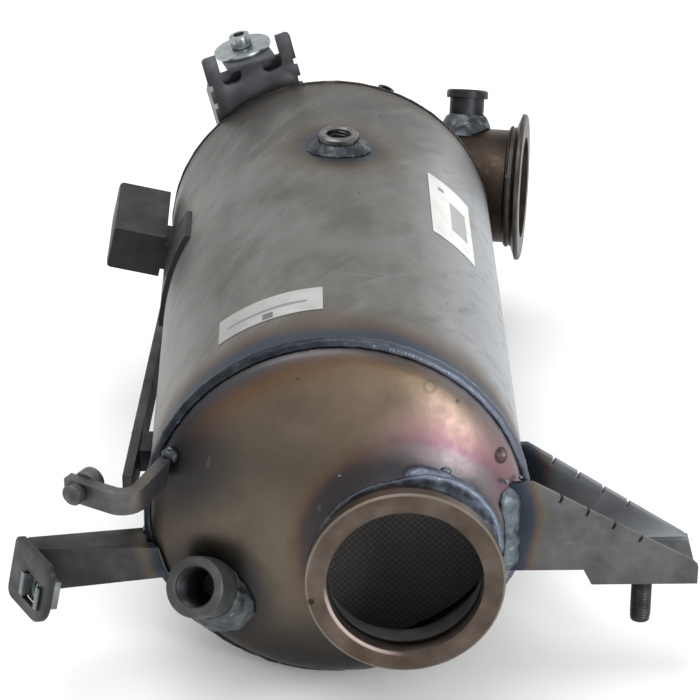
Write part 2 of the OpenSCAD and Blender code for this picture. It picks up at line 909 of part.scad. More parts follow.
module hook_bolt() {
  color(dark_sheet) at_hook_hole() {
    translate([0, 0, slip]) cylinder(d = hook_head_d, h = hook_head_h);
    translate([0, 0, -strap_t - hook_nut_h - 2]) cylinder(d = hook_hole, h = strap_t + hook_nut_h + 2 + slip);
  }
}

module hook_nut() {
  color(zinc) at_hook_hole() translate([0, 0, -strap_t - slip - hook_nut_h])
    tube(hook_nut_d, hook_hole + 2 * slip, hook_nut_h);
}

// Box bracket: a folded box, open below and behind, on a saddle that is welded to the can.
box_turn = -77;
box_y0 = 196.5;
box_gap = 3.5;
box_low = -12.3;
saddle_t = 2;
saddle_turn = -72;
saddle_fore = 44.5;
saddle_y0 = box_y0 - saddle_fore;
saddle_len = 46;
saddle_top_fore = 32.5;
saddle_top_y0 = box_y0 - saddle_top_fore;
saddle_top_len = 26;
saddle_low_z = -8;
saddle_mid_z = 4;
saddle_top_z = 42;
box_neck_in = 4;
box_neck_len = 22;
box_neck_sink = 2;
saddle_angle = 31;

module box_bracket() {
  inner = can_r + box_gap;
  color(dark_sheet) {
    round_can(box_turn, box_y0) difference() {
      translate([box_low, 0, inner]) cube([box_w, box_len, box_deep]);
      translate([box_low - 1, bracket_t, inner + bracket_t])
        cube([box_w + 1 - bracket_t, box_len, box_deep - 2 * bracket_t]);
    }
    difference() {
      round_can(box_turn, box_y0) translate([box_low + box_neck_in, 0, can_r - box_neck_sink])
        cube([box_w - 2 * box_neck_in, box_neck_len, box_gap + box_neck_sink + bracket_t / 2]);
      can_solid(slip);
    }
    difference() {
      intersection() {
        along_can(saddle_y0) rotate([0, 0, saddle_turn - 90 - saddle_angle / 2])
          rotate_extrude(angle = saddle_angle) translate([can_r + slip, 0]) square([saddle_t, saddle_len]);
        rotate([90, 0, -90]) linear_extrude(2 * can_r) polygon([
          [-saddle_y0, saddle_low_z],
          [-saddle_y0, saddle_mid_z],
          [-saddle_top_y0, saddle_top_z],
          [-saddle_top_y0 - saddle_top_len, saddle_top_z],
          [-saddle_y0 - saddle_len, saddle_mid_z],
          [-saddle_y0 - saddle_len, saddle_low_z]
        ]);
      }
      can_solid(slip);
    }
  }
}

// Side strut: a flat bar on edge beside the can, with a foot at its front end.
strut_front = [-10, 8.5, 11];
strut_rear = [-4, 211.5, -14];
strut_foot = [12, 16, 10];
strut_foot_at = [-9, 40.5, -6];
strut_lug = [8, 14, 12];
strut_lug_at = [-4, 194.5, -26];

module side_strut() {
  from = [-can_r, 0, 0] + strut_front;
  to = [-can_r, 0, 0] + strut_rear;
  run = to - from;
  length = norm(run);
  color(dark_sheet) difference() {
    union() {
      translate(from) rotate([0, 0, atan2(run.y, run.x) - 90]) rotate([asin(run.z / length), 0, 0])
        translate([0, 0, -strut_w]) cube([strut_t, length, strut_w]);
      translate([-can_r, 0, 0] + strut_foot_at) cube(strut_foot);
      translate([-can_r, 0, 0] + strut_lug_at) cube(strut_lug);
    }
    keep_off_can();
    cap_cone();
  }
}

// Top bracket: a front wall with corner posts and round notches, sloping sides, a web and a tongue.
top_bracket_turn = -14;
top_bracket_angle = 14;
top_bracket_x = -16.5;
top_bracket_back = 6;
post_w = 7;
post_round = 2;
top_notch_w = 9.5;
top_notch_h = 8;
top_notch_round = 3;
edge_notch = 1.6;
edge_notch_h = 3.5;
edge_notch_pitch = 9;
web_y = 12;
web_low = 5;
side_drop = 18;
tongue_w = 23;
top_bolt_x = 0.8;
top_bolt_y = 18;
washer_t = 2;
top_head_d = 10;
top_head_h = 6;
top_shank = 16;

module at_top_bracket() {
  round_can(top_bracket_turn, can_len + top_bracket_back)
    translate([top_bracket_x, 0, 0]) rotate([0, 0, top_bracket_angle]) children();
}

module at_top_bolt() {
  at_top_bracket() translate([top_bolt_x, top_bolt_y, top_h]) children();
}

// Front wall, drawn with x across and y up.
module top_wall() {
  half = top_w / 2;
  post_top = top_h + post_rise;
  notch_x = half - post_w - top_notch_w;
  difference() {
    union() {
      translate([-half, 0]) square([top_w, post_top - post_round]);
      translate([post_round - half, 0]) square([top_w - 2 * post_round, post_top]);
      for (side = [-1, 1])
        translate([side * (half - post_round), post_top - post_round]) circle(r = post_round);
    }
    translate([post_w - half, top_h]) square([top_w - 2 * post_w, far_past]);
    for (side = [0, 1])
      mirror([side, 0]) {
        translate([notch_x, top_h - top_notch_h + top_notch_round]) square([top_notch_w, far_past]);
        translate([notch_x + top_notch_round, top_h - top_notch_h])
          square([top_notch_w - 2 * top_notch_round, far_past]);
        for (x = [top_notch_round, top_notch_w - top_notch_round])
          translate([notch_x + x, top_h - top_notch_h + top_notch_round]) circle(r = top_notch_round);
        for (k = [1, 2])
          translate([half - edge_notch, top_h - k * edge_notch_pitch]) square([2 * edge_notch, edge_notch_h]);
      }
  }
}

module top_bracket() {
  half = top_w / 2;
  color(dark_sheet) difference() {
    at_top_bracket() {
      translate([0, bracket_t, 0]) rotate([90, 0, 0]) linear_extrude(bracket_t) top_wall();
      for (side = [0, 1])
        mirror([side, 0, 0]) translate([half - edge_notch - bracket_t, 0, 0]) rotate([90, 0, 90])
          linear_extrude(bracket_t) polygon([
            [0, 0],
            [0, top_h],
            [bracket_t, top_h],
            [top_len, top_h - side_drop],
            [top_len, 0]
          ]);
      translate([edge_notch - half, web_y - bracket_t, 0])
        cube([top_w - 2 * edge_notch, bracket_t, top_h - web_low]);
      translate([top_bolt_x - tongue_w / 2, 0, top_h - bracket_t]) cube([tongue_w, top_bolt_y, bracket_t]);
      translate([top_bolt_x, top_bolt_y, top_h - bracket_t]) cylinder(d = tongue_w, h = bracket_t);
      translate([top_bolt_x - tongue_w / 4, web_y - bracket_t, 0]) cube([tongue_w / 2, bracket_t, top_h]);
    }
    inlet_dome(slip);
    along_can(0) cylinder(r = can_r - 12, h = far_past);
    along_can(can_len - far_bead) cylinder(r = far_bead_out + slip, h = 2 * far_bead);
    at_inlet() cylinder(d = inlet_pipe_d + 2 * pipe_bead + 1, h = far_past);
    at_top_bolt() translate([0, 0, -far_past / 10]) cylinder(d = top_bolt_d + 2 * slip, h = far_past / 5);
  }
}

module top_washer() {
  color(zinc) at_top_bolt() tube(washer_d, top_bolt_d + 2 * slip, washer_t);
}

module top_bolt() {
  color(zinc) at_top_bolt() {
    translate([0, 0, washer_t]) cylinder(d = top_head_d, h = top_head_h);
    translate([0, 0, -top_shank]) cylinder(d = top_bolt_d, h = top_shank + washer_t);
  }
}

in_row() can_shell();
in_row() outlet_cap();
in_row() inlet_cap();
in_row() outlet_flange();
in_row() inlet_pipe();
in_row() inlet_flange();
in_row() filter_monolith();
in_row() filter_mat();
in_row() catalyst_monolith();
in_row() catalyst_mat();
in_row() outlet_rim_weld();
in_row() inlet_rim_weld();
in_row() outlet_flange_weld();
in_row() inlet_flange_weld();
in_row() inlet_pipe_weld();
in_row() top_sensor_boss();
in_row() top_boss_weld();
in_row() outlet_sensor_boss();
in_row() outlet_boss_weld();
in_row() inlet_sensor_boss();
in_row() inlet_boss_weld();
in_row() pressure_stub();
in_row() right_bracket();
in_row() right_bracket_weld();
in_row() right_stud();
in_row() channel_bracket();
in_row() channel_weld();
in_row() cage_clip();
in_row() cage_nut();
in_row() hook_arm();
in_row() hook_weld();
in_row() hook_bolt();
in_row() hook_nut();
in_row() box_bracket();
in_row() side_strut();
in_row() top_bracket();
in_row() top_washer();
in_row() top_bolt();
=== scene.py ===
import json
import math

import bpy
from mathutils import Matrix, Vector


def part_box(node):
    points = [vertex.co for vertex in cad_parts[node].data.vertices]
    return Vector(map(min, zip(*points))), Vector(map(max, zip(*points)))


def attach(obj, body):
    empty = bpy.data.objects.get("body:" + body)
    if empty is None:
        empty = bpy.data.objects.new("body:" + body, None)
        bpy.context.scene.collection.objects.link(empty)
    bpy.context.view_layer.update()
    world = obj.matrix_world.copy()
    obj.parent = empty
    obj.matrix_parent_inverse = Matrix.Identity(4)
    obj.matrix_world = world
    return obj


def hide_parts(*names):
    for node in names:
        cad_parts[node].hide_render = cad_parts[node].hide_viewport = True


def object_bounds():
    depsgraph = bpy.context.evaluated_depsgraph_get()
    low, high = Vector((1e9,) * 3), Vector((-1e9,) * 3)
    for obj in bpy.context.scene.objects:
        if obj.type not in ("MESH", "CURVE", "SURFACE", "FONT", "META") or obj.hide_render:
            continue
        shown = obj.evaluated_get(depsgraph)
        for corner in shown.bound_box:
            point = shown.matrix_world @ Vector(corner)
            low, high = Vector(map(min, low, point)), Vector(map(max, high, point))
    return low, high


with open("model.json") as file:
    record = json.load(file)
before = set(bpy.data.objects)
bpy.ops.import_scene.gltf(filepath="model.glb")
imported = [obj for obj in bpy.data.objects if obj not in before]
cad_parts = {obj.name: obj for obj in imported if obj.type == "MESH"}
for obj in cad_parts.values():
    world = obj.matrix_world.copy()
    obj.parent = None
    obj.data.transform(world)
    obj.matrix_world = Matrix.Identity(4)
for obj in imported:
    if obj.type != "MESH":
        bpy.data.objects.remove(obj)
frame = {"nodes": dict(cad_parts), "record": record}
cad_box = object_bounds()
bpy.ops.object.select_all(action="DESELECT")


# Can shell: a tube rolled from satin stainless sheet, with soft clouds and slanting brush marks.
# The welds at both rims and round the top boss have left dark blue, brown and straw tint.
# Handling has left a few dark specks. Painted light pales both sides of the can, and painted shade darkens
# its far end and a patch beside the box bracket.
mounts = {mount["name"]: mount for mount in frame["record"]["mounts"]}
can_low, can_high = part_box("can_shell")
can_radius = (can_high.x - can_low.x) / 2
can_axis = Vector((can_high.x - can_radius, 0.0, can_high.z - can_radius))
can_front = can_low.y
can_back = can_high.y
top_boss_foot = Vector(mounts["top_sensor_thread"]["pos_m"])
top_boss_foot.z = can_high.z
top_boss_reach = 0.010
brush_slant = -0.9
box_shade_middle = Vector((-0.0915, 0.1974, 0.0435))
box_shade_stretch = 0.38
can_clouds = ((0.25, (0.116, 0.113, 0.104)), (0.5, (0.152, 0.149, 0.140)), (0.78, (0.202, 0.202, 0.192)))
streak_grey = (0.215, 0.214, 0.205)
right_side_light = (0.415, 0.434, 0.460)
left_side_light = (0.225, 0.227, 0.215)
far_shade = (0.085, 0.082, 0.076)
scratch_white = (0.30, 0.30, 0.29)
brushed_light = (0.225, 0.228, 0.219)
brushed_dark = (0.098, 0.095, 0.088)
speck_brown = (0.03, 0.025, 0.02)
box_shade_black = (0.045, 0.046, 0.046)


def put(tree, kind, inputs=None, **settings):
    """Adds a shader node. An input is a plain value or another node's output."""
    made = tree.nodes.new(kind)
    for key, value in settings.items():
        setattr(made, key, value)
    for key, value in (inputs or {}).items():
        if isinstance(value, bpy.types.NodeSocket):
            tree.links.new(value, made.inputs[key])
        else:
            made.inputs[key].default_value = value
    return made


def calc(tree, operation, a, b=0.0):
    """One sum on values, such as MULTIPLY or SUBTRACT."""
    return put(tree, "ShaderNodeMath", {0: a, 1: b}, operation=operation).outputs[0]


def rise(tree, value, low, high, to_low=0.0, to_high=1.0):
    """Maps a value smoothly from low..high to to_low..to_high."""
    return put(tree, "ShaderNodeMapRange", {0: value, 1: low, 2: high, 3: to_low, 4: to_high},
               interpolation_type="SMOOTHSTEP").outputs[0]


def over(tree, amount, below, above):
    """Lays a colour over another by an amount from 0 to 1."""
    return put(tree, "ShaderNodeMix", {0: amount, 6: below, 7: above}, data_type="RGBA").outputs[2]


def veil(tree, tone, colour, value, between, amount):
    """Lays a colour over a tone by an amount that runs from first to last between two values."""
    return over(tree, rise(tree, value, *between, *amount), tone, (*colour, 1))


def ramp(tree, value, *stops):
    """Colours along a value from 0 to 1, each stop a place and a colour."""
    made = put(tree, "ShaderNodeValToRGB", {0: value})
    elements = made.color_ramp.elements
    elements[0].position, elements[0].color = stops[0][0], (*stops[0][1], 1)
    elements[1].position, elements[1].color = stops[-1][0], (*stops[-1][1], 1)
    for place, colour in stops[1:-1]:
        elements.new(place).color = (*colour, 1)
    return made.outputs[0]


def grain(tree, where, scale, detail=4.0, stretch=None):
    """Soft noise with a number of features per metre, stretched along an axis if asked."""
    if stretch:
        where = put(tree, "ShaderNodeMapping", {"Vector": where, "Scale": stretch}).outputs[0]
    return put(tree, "ShaderNodeTexNoise",
               {"Vector": where, "Scale": scale, "Detail": detail, "Roughness": 0.58}).outputs["Fac"]


def dots(tree, where, scale):
    """Distance from the nearest of many scattered dots, as a share of their spacing."""
    return put(tree, "ShaderNodeTexVoronoi", {"Vector": where, "Scale": scale}).outputs["Distance"]


def sway(tree, cloud, reach):
    """A soft shift in metres to either side, which makes the edge of a tint uneven."""
    return calc(tree, "MULTIPLY", calc(tree, "SUBTRACT", cloud, 0.5), reach)


def distance_to(tree, where, place):
    """Distance of the surface from a fixed place."""
    return put(tree, "ShaderNodeVectorMath", {0: where, 1: place}, operation="DISTANCE").outputs["Value"]


def round_axis(tree, where, centre):
    """Distance from a line along Y, the place along it, and the places across and up from it."""
    parts = put(tree, "ShaderNodeSeparateXYZ", {0: where})
    across = calc(tree, "SUBTRACT", parts.outputs[0], centre.x)
    up = calc(tree, "SUBTRACT", parts.outputs[2], centre.z)
    flat = put(tree, "ShaderNodeCombineXYZ", {0: across, 1: up}).outputs[0]
    span = put(tree, "ShaderNodeVectorMath", {0: flat}, operation="LENGTH").outputs["Value"]
    return span, parts.outputs[1], across, up


def new_finish(name, metallic=1.0, specular=0.5):
    """A material with its shader, ready for colour, roughness and bump."""
    made = bpy.data.materials.new(name)
    made.use_nodes = True
    shader = made.node_tree.nodes["Principled BSDF"]
    shader.inputs["Metallic"].default_value = metallic
    shader.inputs["Specular IOR Level"].default_value = specular
    where = put(made.node_tree, "ShaderNodeTexCoord").outputs["Object"]
    return made, made.node_tree, shader, where


def paint(tree, shader, colour, roughness, height=None, strength=0.2, distance=0.0001):
    """Joins a colour and a roughness to the shader, and a bump with its height in parts of a distance."""
    tree.links.new(colour, shader.inputs["Base Color"])
    if isinstance(roughness, bpy.types.NodeSocket):
        tree.links.new(roughness, shader.inputs["Roughness"])
    else:
        shader.inputs["Roughness"].default_value = roughness
    if height is not None:
        made = put(tree, "ShaderNodeBump", {"Strength": strength, "Distance": distance, "Height": height})
        tree.links.new(made.outputs[0], shader.inputs["Normal"])


def dress(node, finish):
    """Gives a CAD node one finish in its material slot."""
    mesh = frame["nodes"][node].data
    mesh.materials.clear()
    mesh.materials.append(finish)


# The tint that welding heat leaves: blue at the bead, then brown, then straw, then bare metal.
tint_bands = ((0.0, (0.033, 0.044, 0.062)), (0.25, (0.042, 0.052, 0.073)), (0.42, (0.098, 0.074, 0.061)),
              (0.62, (0.130, 0.106, 0.080)), (1.0, (0.16, 0.145, 0.12)))
heat_tint = bpy.data.node_groups.new("heat_tint", "ShaderNodeTree")
for socket, kind in (("Colour", "NodeSocketColor"), ("Distance", "NodeSocketFloat"),
                     ("Reach", "NodeSocketFloat"), ("Strength", "NodeSocketFloat")):
    heat_tint.interface.new_socket(socket, in_out="INPUT", socket_type=kind)
heat_tint.interface.new_socket("Colour", in_out="OUTPUT", socket_type="NodeSocketColor")
given = put(heat_tint, "NodeGroupInput").outputs
share = calc(heat_tint, "DIVIDE", given["Distance"], given["Reach"])
bands = ramp(heat_tint, share, *tint_bands)
amount = calc(heat_tint, "MULTIPLY", rise(heat_tint, share, 0.35, 1.0, 1.0, 0.0), given["Strength"])
put(heat_tint, "NodeGroupOutput", {"Colour": over(heat_tint, amount, given["Colour"], bands)})


def tinted(tree, colour, distance, reach, strength):
    """A colour with heat tint that fades out over a reach in metres."""
    made = put(tree, "ShaderNodeGroup", node_tree=heat_tint)
    tree.links.new(colour, made.inputs["Colour"])
    tree.links.new(distance, made.inputs["Distance"])
    made.inputs["Reach"].default_value = reach
    made.inputs["Strength"].default_value = strength
    return made.outputs[0]


can_finish, tree, shader, where = new_finish("satin_can")
_, along, across, _ = round_axis(tree, where, can_axis)
cloud = grain(tree, where, scale=24, detail=5)
streak = grain(tree, where, scale=75, stretch=(1, 0.3, 1))
fine = grain(tree, where, scale=800, detail=2, stretch=(1, 0.35, 1))
scratch = grain(tree, where, scale=320, detail=3, stretch=(0.06, 1, 0.06))
slant = put(tree, "ShaderNodeMapping", {"Vector": where, "Rotation": (0.0, 0.0, brush_slant)}).outputs[0]
stroke = grain(tree, slant, scale=105, stretch=(0.22, 1, 0.5))
specks = dots(tree, where, scale=78)
tone = ramp(tree, cloud, *can_clouds)
tone = veil(tree, tone, streak_grey, streak, between=(0.42, 0.72), amount=(0.0, 0.45))
# Painted light: the can's right side is made paler and bluer.
tone = veil(tree, tone, right_side_light, across, between=(0.028, 0.075), amount=(0.0, 0.92))
# Painted light: the can's left edge is made paler.
tone = veil(tree, tone, left_side_light, across, between=(-0.068, -0.045), amount=(0.55, 0.0))
tone = veil(tree, tone, far_shade, along, between=(0.235, 0.300), amount=(0.0, 0.55))
tone = veil(tree, tone, scratch_white, scratch, between=(0.66, 0.74), amount=(0.0, 0.3))
tone = veil(tree, tone, brushed_light, stroke, between=(0.50, 0.72), amount=(0.0, 0.55))
tone = veil(tree, tone, brushed_dark, stroke, between=(0.28, 0.46), amount=(0.45, 0.0))
tone = veil(tree, tone, speck_brown, specks, between=(0.03, 0.065), amount=(0.75, 0.0))
wander = sway(tree, cloud, 0.014)
near_front = calc(tree, "ADD", calc(tree, "SUBTRACT", along, can_front), wander)
tone = tinted(tree, tone, near_front, reach=0.034, strength=0.97)
near_back = calc(tree, "ADD", calc(tree, "SUBTRACT", can_back, along), wander)
tone = tinted(tree, tone, near_back, reach=0.014, strength=0.5)
near_boss = calc(tree, "SUBTRACT", distance_to(tree, where, top_boss_foot), top_boss_reach)
tone = tinted(tree, tone, calc(tree, "ADD", near_boss, wander), reach=0.024, strength=0.8)
# Painted shade: a soft dark patch on the can beside the box bracket's saddle.
beside = put(tree, "ShaderNodeMapping", {"Vector": where, "Scale": (1, box_shade_stretch, 1)}).outputs[0]
box_shade_place = (box_shade_middle.x, box_shade_middle.y * box_shade_stretch, box_shade_middle.z)
box_shade = calc(tree, "ADD", distance_to(tree, beside, box_shade_place), calc(tree, "MULTIPLY", wander, 1.3))
tone = veil(tree, tone, box_shade_black, box_shade, between=(0.000, 0.017), amount=(0.5, 0.0))
rough = rise(tree, cloud, 0.2, 0.8, to_low=0.56, to_high=0.46)
paint(tree, shader, tone, rough, fine, strength=0.25, distance=0.00006)
dress("can_shell", can_finish)


# Paper labels: two white stickers on the can, one near the outlet rim and one on its right side.
# They are thin paper, pasted flat on the sheet, with plain grey fields and no print.
label_lift = 0.0002
label_thick = 0.0001
front_fields = ((0.10, 0.86, 0.40, 0.50, 0.16), (0.45, 0.55, 0.05, 0.30, 0.08))
side_fields = ((0.45, 0.85, 0.25, 0.72, 0.30), (0.20, 0.34, 0.80, 0.86, 0.20))


def modify(piece, kind, **settings):
    """Adds a modifier to the active piece, sets it up and applies it."""
    step = piece.modifiers.new("step", kind)
    for key, value in settings.items():
        setattr(step, key, value)
    bpy.ops.object.modifier_apply(modifier="step")


def turn_outwards(merge=None, open_sides=None):
    """Merges doubles and fills open ends of the active piece if asked, and turns its faces outwards."""
    bpy.ops.object.mode_set(mode="EDIT")
    bpy.ops.mesh.select_all(action="SELECT")
    if merge is not None:
        bpy.ops.mesh.remove_doubles(threshold=merge)
    if open_sides is not None:
        bpy.ops.mesh.fill_holes(sides=open_sides)
    bpy.ops.mesh.normals_make_consistent(inside=False)
    bpy.ops.object.mode_set(mode="OBJECT")


def apart(tree, value, middle):
    """How far a value lies from a middle, to either side."""
    return calc(tree, "ABSOLUTE", calc(tree, "SUBTRACT", value, middle))


def label(name, ends, turns, white, fields):
    """A paper strip bent round the can, between two ends along Y and two turns from the top in degrees.
    A field gives its two sides across the paper and its two along it, from 0 to 1, and its grey."""
    bpy.ops.mesh.primitive_grid_add(x_subdivisions=40, y_subdivisions=12, size=1, calc_uvs=True)
    paper = bpy.context.object
    paper.name = name
    reach = can_radius + label_lift
    for corner in paper.data.vertices:
        turn = math.radians(turns[0] + (turns[1] - turns[0]) * (corner.co.x + 0.5))
        y = ends[0] + (ends[1] - ends[0]) * (corner.co.y + 0.5)
        corner.co = (can_axis.x + reach * math.sin(turn), y, can_axis.z + reach * math.cos(turn))
    modify(paper, "SOLIDIFY", thickness=label_thick)
    turn_outwards()
    bpy.ops.object.shade_smooth_by_angle(angle=math.radians(40))
    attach(paper, "root")
    finish, tree, shader, where = new_finish(name + "_paper", metallic=0.0, specular=0.3)
    sheet = put(tree, "ShaderNodeUVMap").outputs[0]
    sides = put(tree, "ShaderNodeSeparateXYZ", {0: sheet}).outputs
    stains = [(place, (white * part, white * part, white * part * 0.98))
              for place, part in ((0.3, 0.75), (0.55, 0.95), (0.8, 1.05))]
    tone = ramp(tree, grain(tree, where, scale=80), *stains)
    dulled = (white * 0.6, white * 0.6, white * 0.58)
    tone = veil(tree, tone, dulled, sides[0], between=(0.0, 0.75), amount=(0.55, 0.0))
    for u0, u1, v0, v1, grey in fields:
        inside = None
        for side, low, high in ((sides[0], u0, u1), (sides[1], v0, v1)):
            half = (high - low) / 2
            off = apart(tree, side, (low + high) / 2)
            part = rise(tree, off, half * 0.94, half * 1.06, 0.85, 0.0)
            inside = part if inside is None else calc(tree, "MINIMUM", inside, part)
        tone = over(tree, inside, tone, (grey, grey, grey, 1))
    fibre = grain(tree, where, scale=500, detail=3)
    paint(tree, shader, tone, 0.75, fibre, strength=0.2, distance=0.00005)
    paper.data.materials.append(finish)


label("front_label", ends=(0.0755, 0.0945), turns=(-38, -4), white=0.38, fields=front_fields)
label("side_label", ends=(0.1725, 0.2325), turns=(34, 53), white=0.80, fields=side_fields)


# Outlet cap: deep drawn from stainless sheet, with an offset neck for the outlet flange.
# Welding has coloured it straw and tan on the dome, purple and blue near the beads, and
# nearly black round the sensor boss and the hook. Painted shade darkens its left side, its
# underside and a dent, and a painted sheen lightens it on the lower left. Inside it is black with soot.
neck_radius = 0.033
merge_gap = 0.000002
cap_middle = Vector((-0.010, 0.052, 0.0))
outlet_boss_foot = Vector((-0.0738, 0.0379, -0.0255))
hook_foot = Vector((-0.0912, 0.0410, 0.0330))
painted_sheen_middle = Vector((-0.052, 0.029, -0.006))
dent_middle = Vector((0.0383, 0.0382, 0.0347))
dent_radius = 0.0029
mark_middle = Vector((0.0103, 0.0392, 0.0650))
mark_radius = 0.0024
cap_clouds = ((0.25, (0.115, 0.088, 0.064)), (0.5, (0.155, 0.120, 0.088)), (0.8, (0.200, 0.160, 0.120)))
shaded_olive = (0.060, 0.053, 0.044)
painted_sheen = (0.125, 0.105, 0.080)
blotch_brown = (0.066, 0.055, 0.046)
underside_shade = (0.024, 0.023, 0.024)
right_lilac = (0.255, 0.205, 0.225)
neck_browns = ((0.0, (0.030, 0.032, 0.040)), (0.35, (0.042, 0.034, 0.036)), (0.55, (0.105, 0.062, 0.042)),
               (1.0, (0.13, 0.095, 0.07)))
neck_pinks = ((0.0, (0.050, 0.056, 0.070)), (0.13, (0.062, 0.060, 0.068)), (0.22, (0.140, 0.120, 0.126)),
              (0.30, (0.155, 0.125, 0.140)), (0.38, (0.165, 0.098, 0.120)), (0.50, (0.225, 0.135, 0.140)),
              (0.66, (0.262, 0.172, 0.162)), (0.82, (0.255, 0.180, 0.160)), (1.0, (0.20, 0.15, 0.125)))
rim_browns = ((0.0, (0.060, 0.066, 0.078)), (0.3, (0.066, 0.060, 0.064)), (0.5, (0.120, 0.068, 0.040)),
              (0.72, (0.145, 0.095, 0.062)), (1.0, (0.15, 0.115, 0.085)))
rim_lilac = (0.235, 0.225, 0.255)
burnt_black = (0.028, 0.028, 0.031)
dent_shade_brown = (0.085, 0.060, 0.062)
dent_rim_shade = (0.035, 0.028, 0.030)
mark_brown = (0.09, 0.065, 0.055)
scratch_tan = (0.22, 0.18, 0.15)
speck_rust = (0.05, 0.038, 0.03)


def merged_copy(node, name):
    """A copy of a CAD node with its triangles merged, standing in for the node."""
    piece = bpy.data.objects.new(name, frame["nodes"][node].data.copy())
    bpy.context.scene.collection.objects.link(piece)
    bpy.ops.object.select_all(action="DESELECT")
    piece.select_set(True)
    bpy.context.view_layer.objects.active = piece
    bpy.ops.object.mode_set(mode="EDIT")
    bpy.ops.mesh.select_all(action="SELECT")
    bpy.ops.mesh.remove_doubles(threshold=merge_gap)
    bpy.ops.object.mode_set(mode="OBJECT")
    bpy.ops.mesh.customdata_custom_splitnormals_clear()
    piece.data.materials.clear()
    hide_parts(node)
    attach(piece, "root")
    return piece


def mottled(name, scale, *stops, detail=4.0, rough=0.4, smooth=None, fine=500, strength=0.2,
            distance=0.0001, metallic=1.0, specular=0.5):
    """A finish of clouds between a few tones, with fine bump, and smoother where it is light if asked."""
    finish, tree, shader, where = new_finish(name, metallic, specular)
    cloud = grain(tree, where, scale, detail)
    if smooth is not None:
        rough = rise(tree, cloud, 0.25, 0.75, rough, smooth)
    height = grain(tree, where, fine) if fine else None
    paint(tree, shader, ramp(tree, cloud, *stops), rough, height, strength, distance)
    return finish


cap_finish, tree, shader, where = new_finish("tinted_cap")
span, along, across, up = round_axis(tree, where, Vector((0, 0, 0)))
cloud = grain(tree, where, scale=28, detail=5)
small = grain(tree, where, scale=170)
wander = sway(tree, cloud, 0.012)
tone = ramp(tree, cloud, *cap_clouds)
slope = calc(tree, "ADD", calc(tree, "MULTIPLY", across, 0.6), calc(tree, "MULTIPLY", up, 0.8))
slope = calc(tree, "ADD", slope, wander)
tone = veil(tree, tone, shaded_olive, slope, between=(-0.012, 0.045), amount=(0.85, 0.0))
# Painted sheen: a pale patch of reflected light on the lower left of the dome.
sheen = calc(tree, "ADD", distance_to(tree, where, painted_sheen_middle), wander)
tone = veil(tree, tone, painted_sheen, sheen, between=(0.016, 0.044), amount=(0.75, 0.0))
blotch = grain(tree, where, scale=48)
tone = veil(tree, tone, blotch_brown, blotch, between=(0.50, 0.68), amount=(0.0, 0.4))
# Painted shade: the underside of the cap is made nearly black.
tone = veil(tree, tone, underside_shade, up, between=(-0.066, -0.028), amount=(0.9, 0.0))
tone = veil(tree, tone, right_lilac, across, between=(0.018, 0.042), amount=(0.0, 0.75))

# Round the neck: browns on the left, and blue, pink and rose on the right.
near_neck = calc(tree, "ADD", calc(tree, "SUBTRACT", span, neck_radius), wander)
browns = ramp(tree, calc(tree, "DIVIDE", near_neck, 0.020), *neck_browns)
tone = over(tree, rise(tree, near_neck, 0.005, 0.019, 0.85, 0.0), tone, browns)
pinks = ramp(tree, calc(tree, "DIVIDE", near_neck, 0.034), *neck_pinks)
to_right = rise(tree, calc(tree, "ADD", across, wander), -0.024, 0.012)
shown = calc(tree, "MULTIPLY", to_right, rise(tree, near_neck, 0.012, 0.034, 1.0, 0.0))
tone = over(tree, shown, tone, pinks)

# Along the can's rim: browns at the upper left, and a pale lilac edge on the right.
near_rim = calc(tree, "SUBTRACT", can_front - 0.0015, along)
near_rim = calc(tree, "ADD", near_rim, calc(tree, "MULTIPLY", wander, 0.4))
bands = ramp(tree, calc(tree, "DIVIDE", near_rim, 0.0135), *rim_browns)
shown = rise(tree, near_rim, 0.004, 0.0125, 1.0, 0.0)
shown = calc(tree, "MULTIPLY", shown, rise(tree, up, 0.015, 0.050, 0.15, 0.9))
shown = calc(tree, "MULTIPLY", shown, rise(tree, across, -0.015, 0.020, 1.0, 0.12))
tone = over(tree, shown, tone, bands)
shown = rise(tree, near_rim, 0.002, 0.009, 0.7, 0.0)
shown = calc(tree, "MULTIPLY", shown, rise(tree, across, 0.0, 0.025))
tone = over(tree, shown, tone, (*rim_lilac, 1))

# Burnt black round two welded feet, then a dent with painted shade inside and round its rim, a round mark,
# scratches and specks.
for place, inner, outer in ((outlet_boss_foot, 0.015, 0.031), (hook_foot, 0.009, 0.036)):
    halo = calc(tree, "ADD", distance_to(tree, where, place), wander)
    tone = veil(tree, tone, burnt_black, halo, between=(inner, outer), amount=(0.88, 0.0))
# Painted shade: the dent is made dark inside and along its rim.
dent = distance_to(tree, where, dent_middle)
tone = veil(tree, tone, dent_shade_brown, dent, between=(0.0024, 0.0034), amount=(0.75, 0.0))
dent_edge = apart(tree, dent, dent_radius)
tone = veil(tree, tone, dent_rim_shade, dent_edge, between=(0.0002, 0.0008), amount=(0.8, 0.0))
mark_edge = apart(tree, distance_to(tree, where, mark_middle), mark_radius)
tone = veil(tree, tone, mark_brown, mark_edge, between=(0.0002, 0.0009), amount=(0.55, 0.0))
scratch = grain(tree, where, scale=260, detail=3, stretch=(1, 1, 0.08))
tone = veil(tree, tone, scratch_tan, scratch, between=(0.68, 0.74), amount=(0.0, 0.2))
specks = dots(tree, where, scale=62)
tone = veil(tree, tone, speck_rust, specks, between=(0.03, 0.07), amount=(0.7, 0.0))
height = calc(tree, "ADD", calc(tree, "MULTIPLY", small, 0.10), rise(tree, dent, 0.0004, 0.0032, 0.0, 1.6))
rough = rise(tree, small, 0.2, 0.8, to_low=0.47, to_high=0.36)
paint(tree, shader, tone, rough, height, strength=0.9, distance=0.0009)

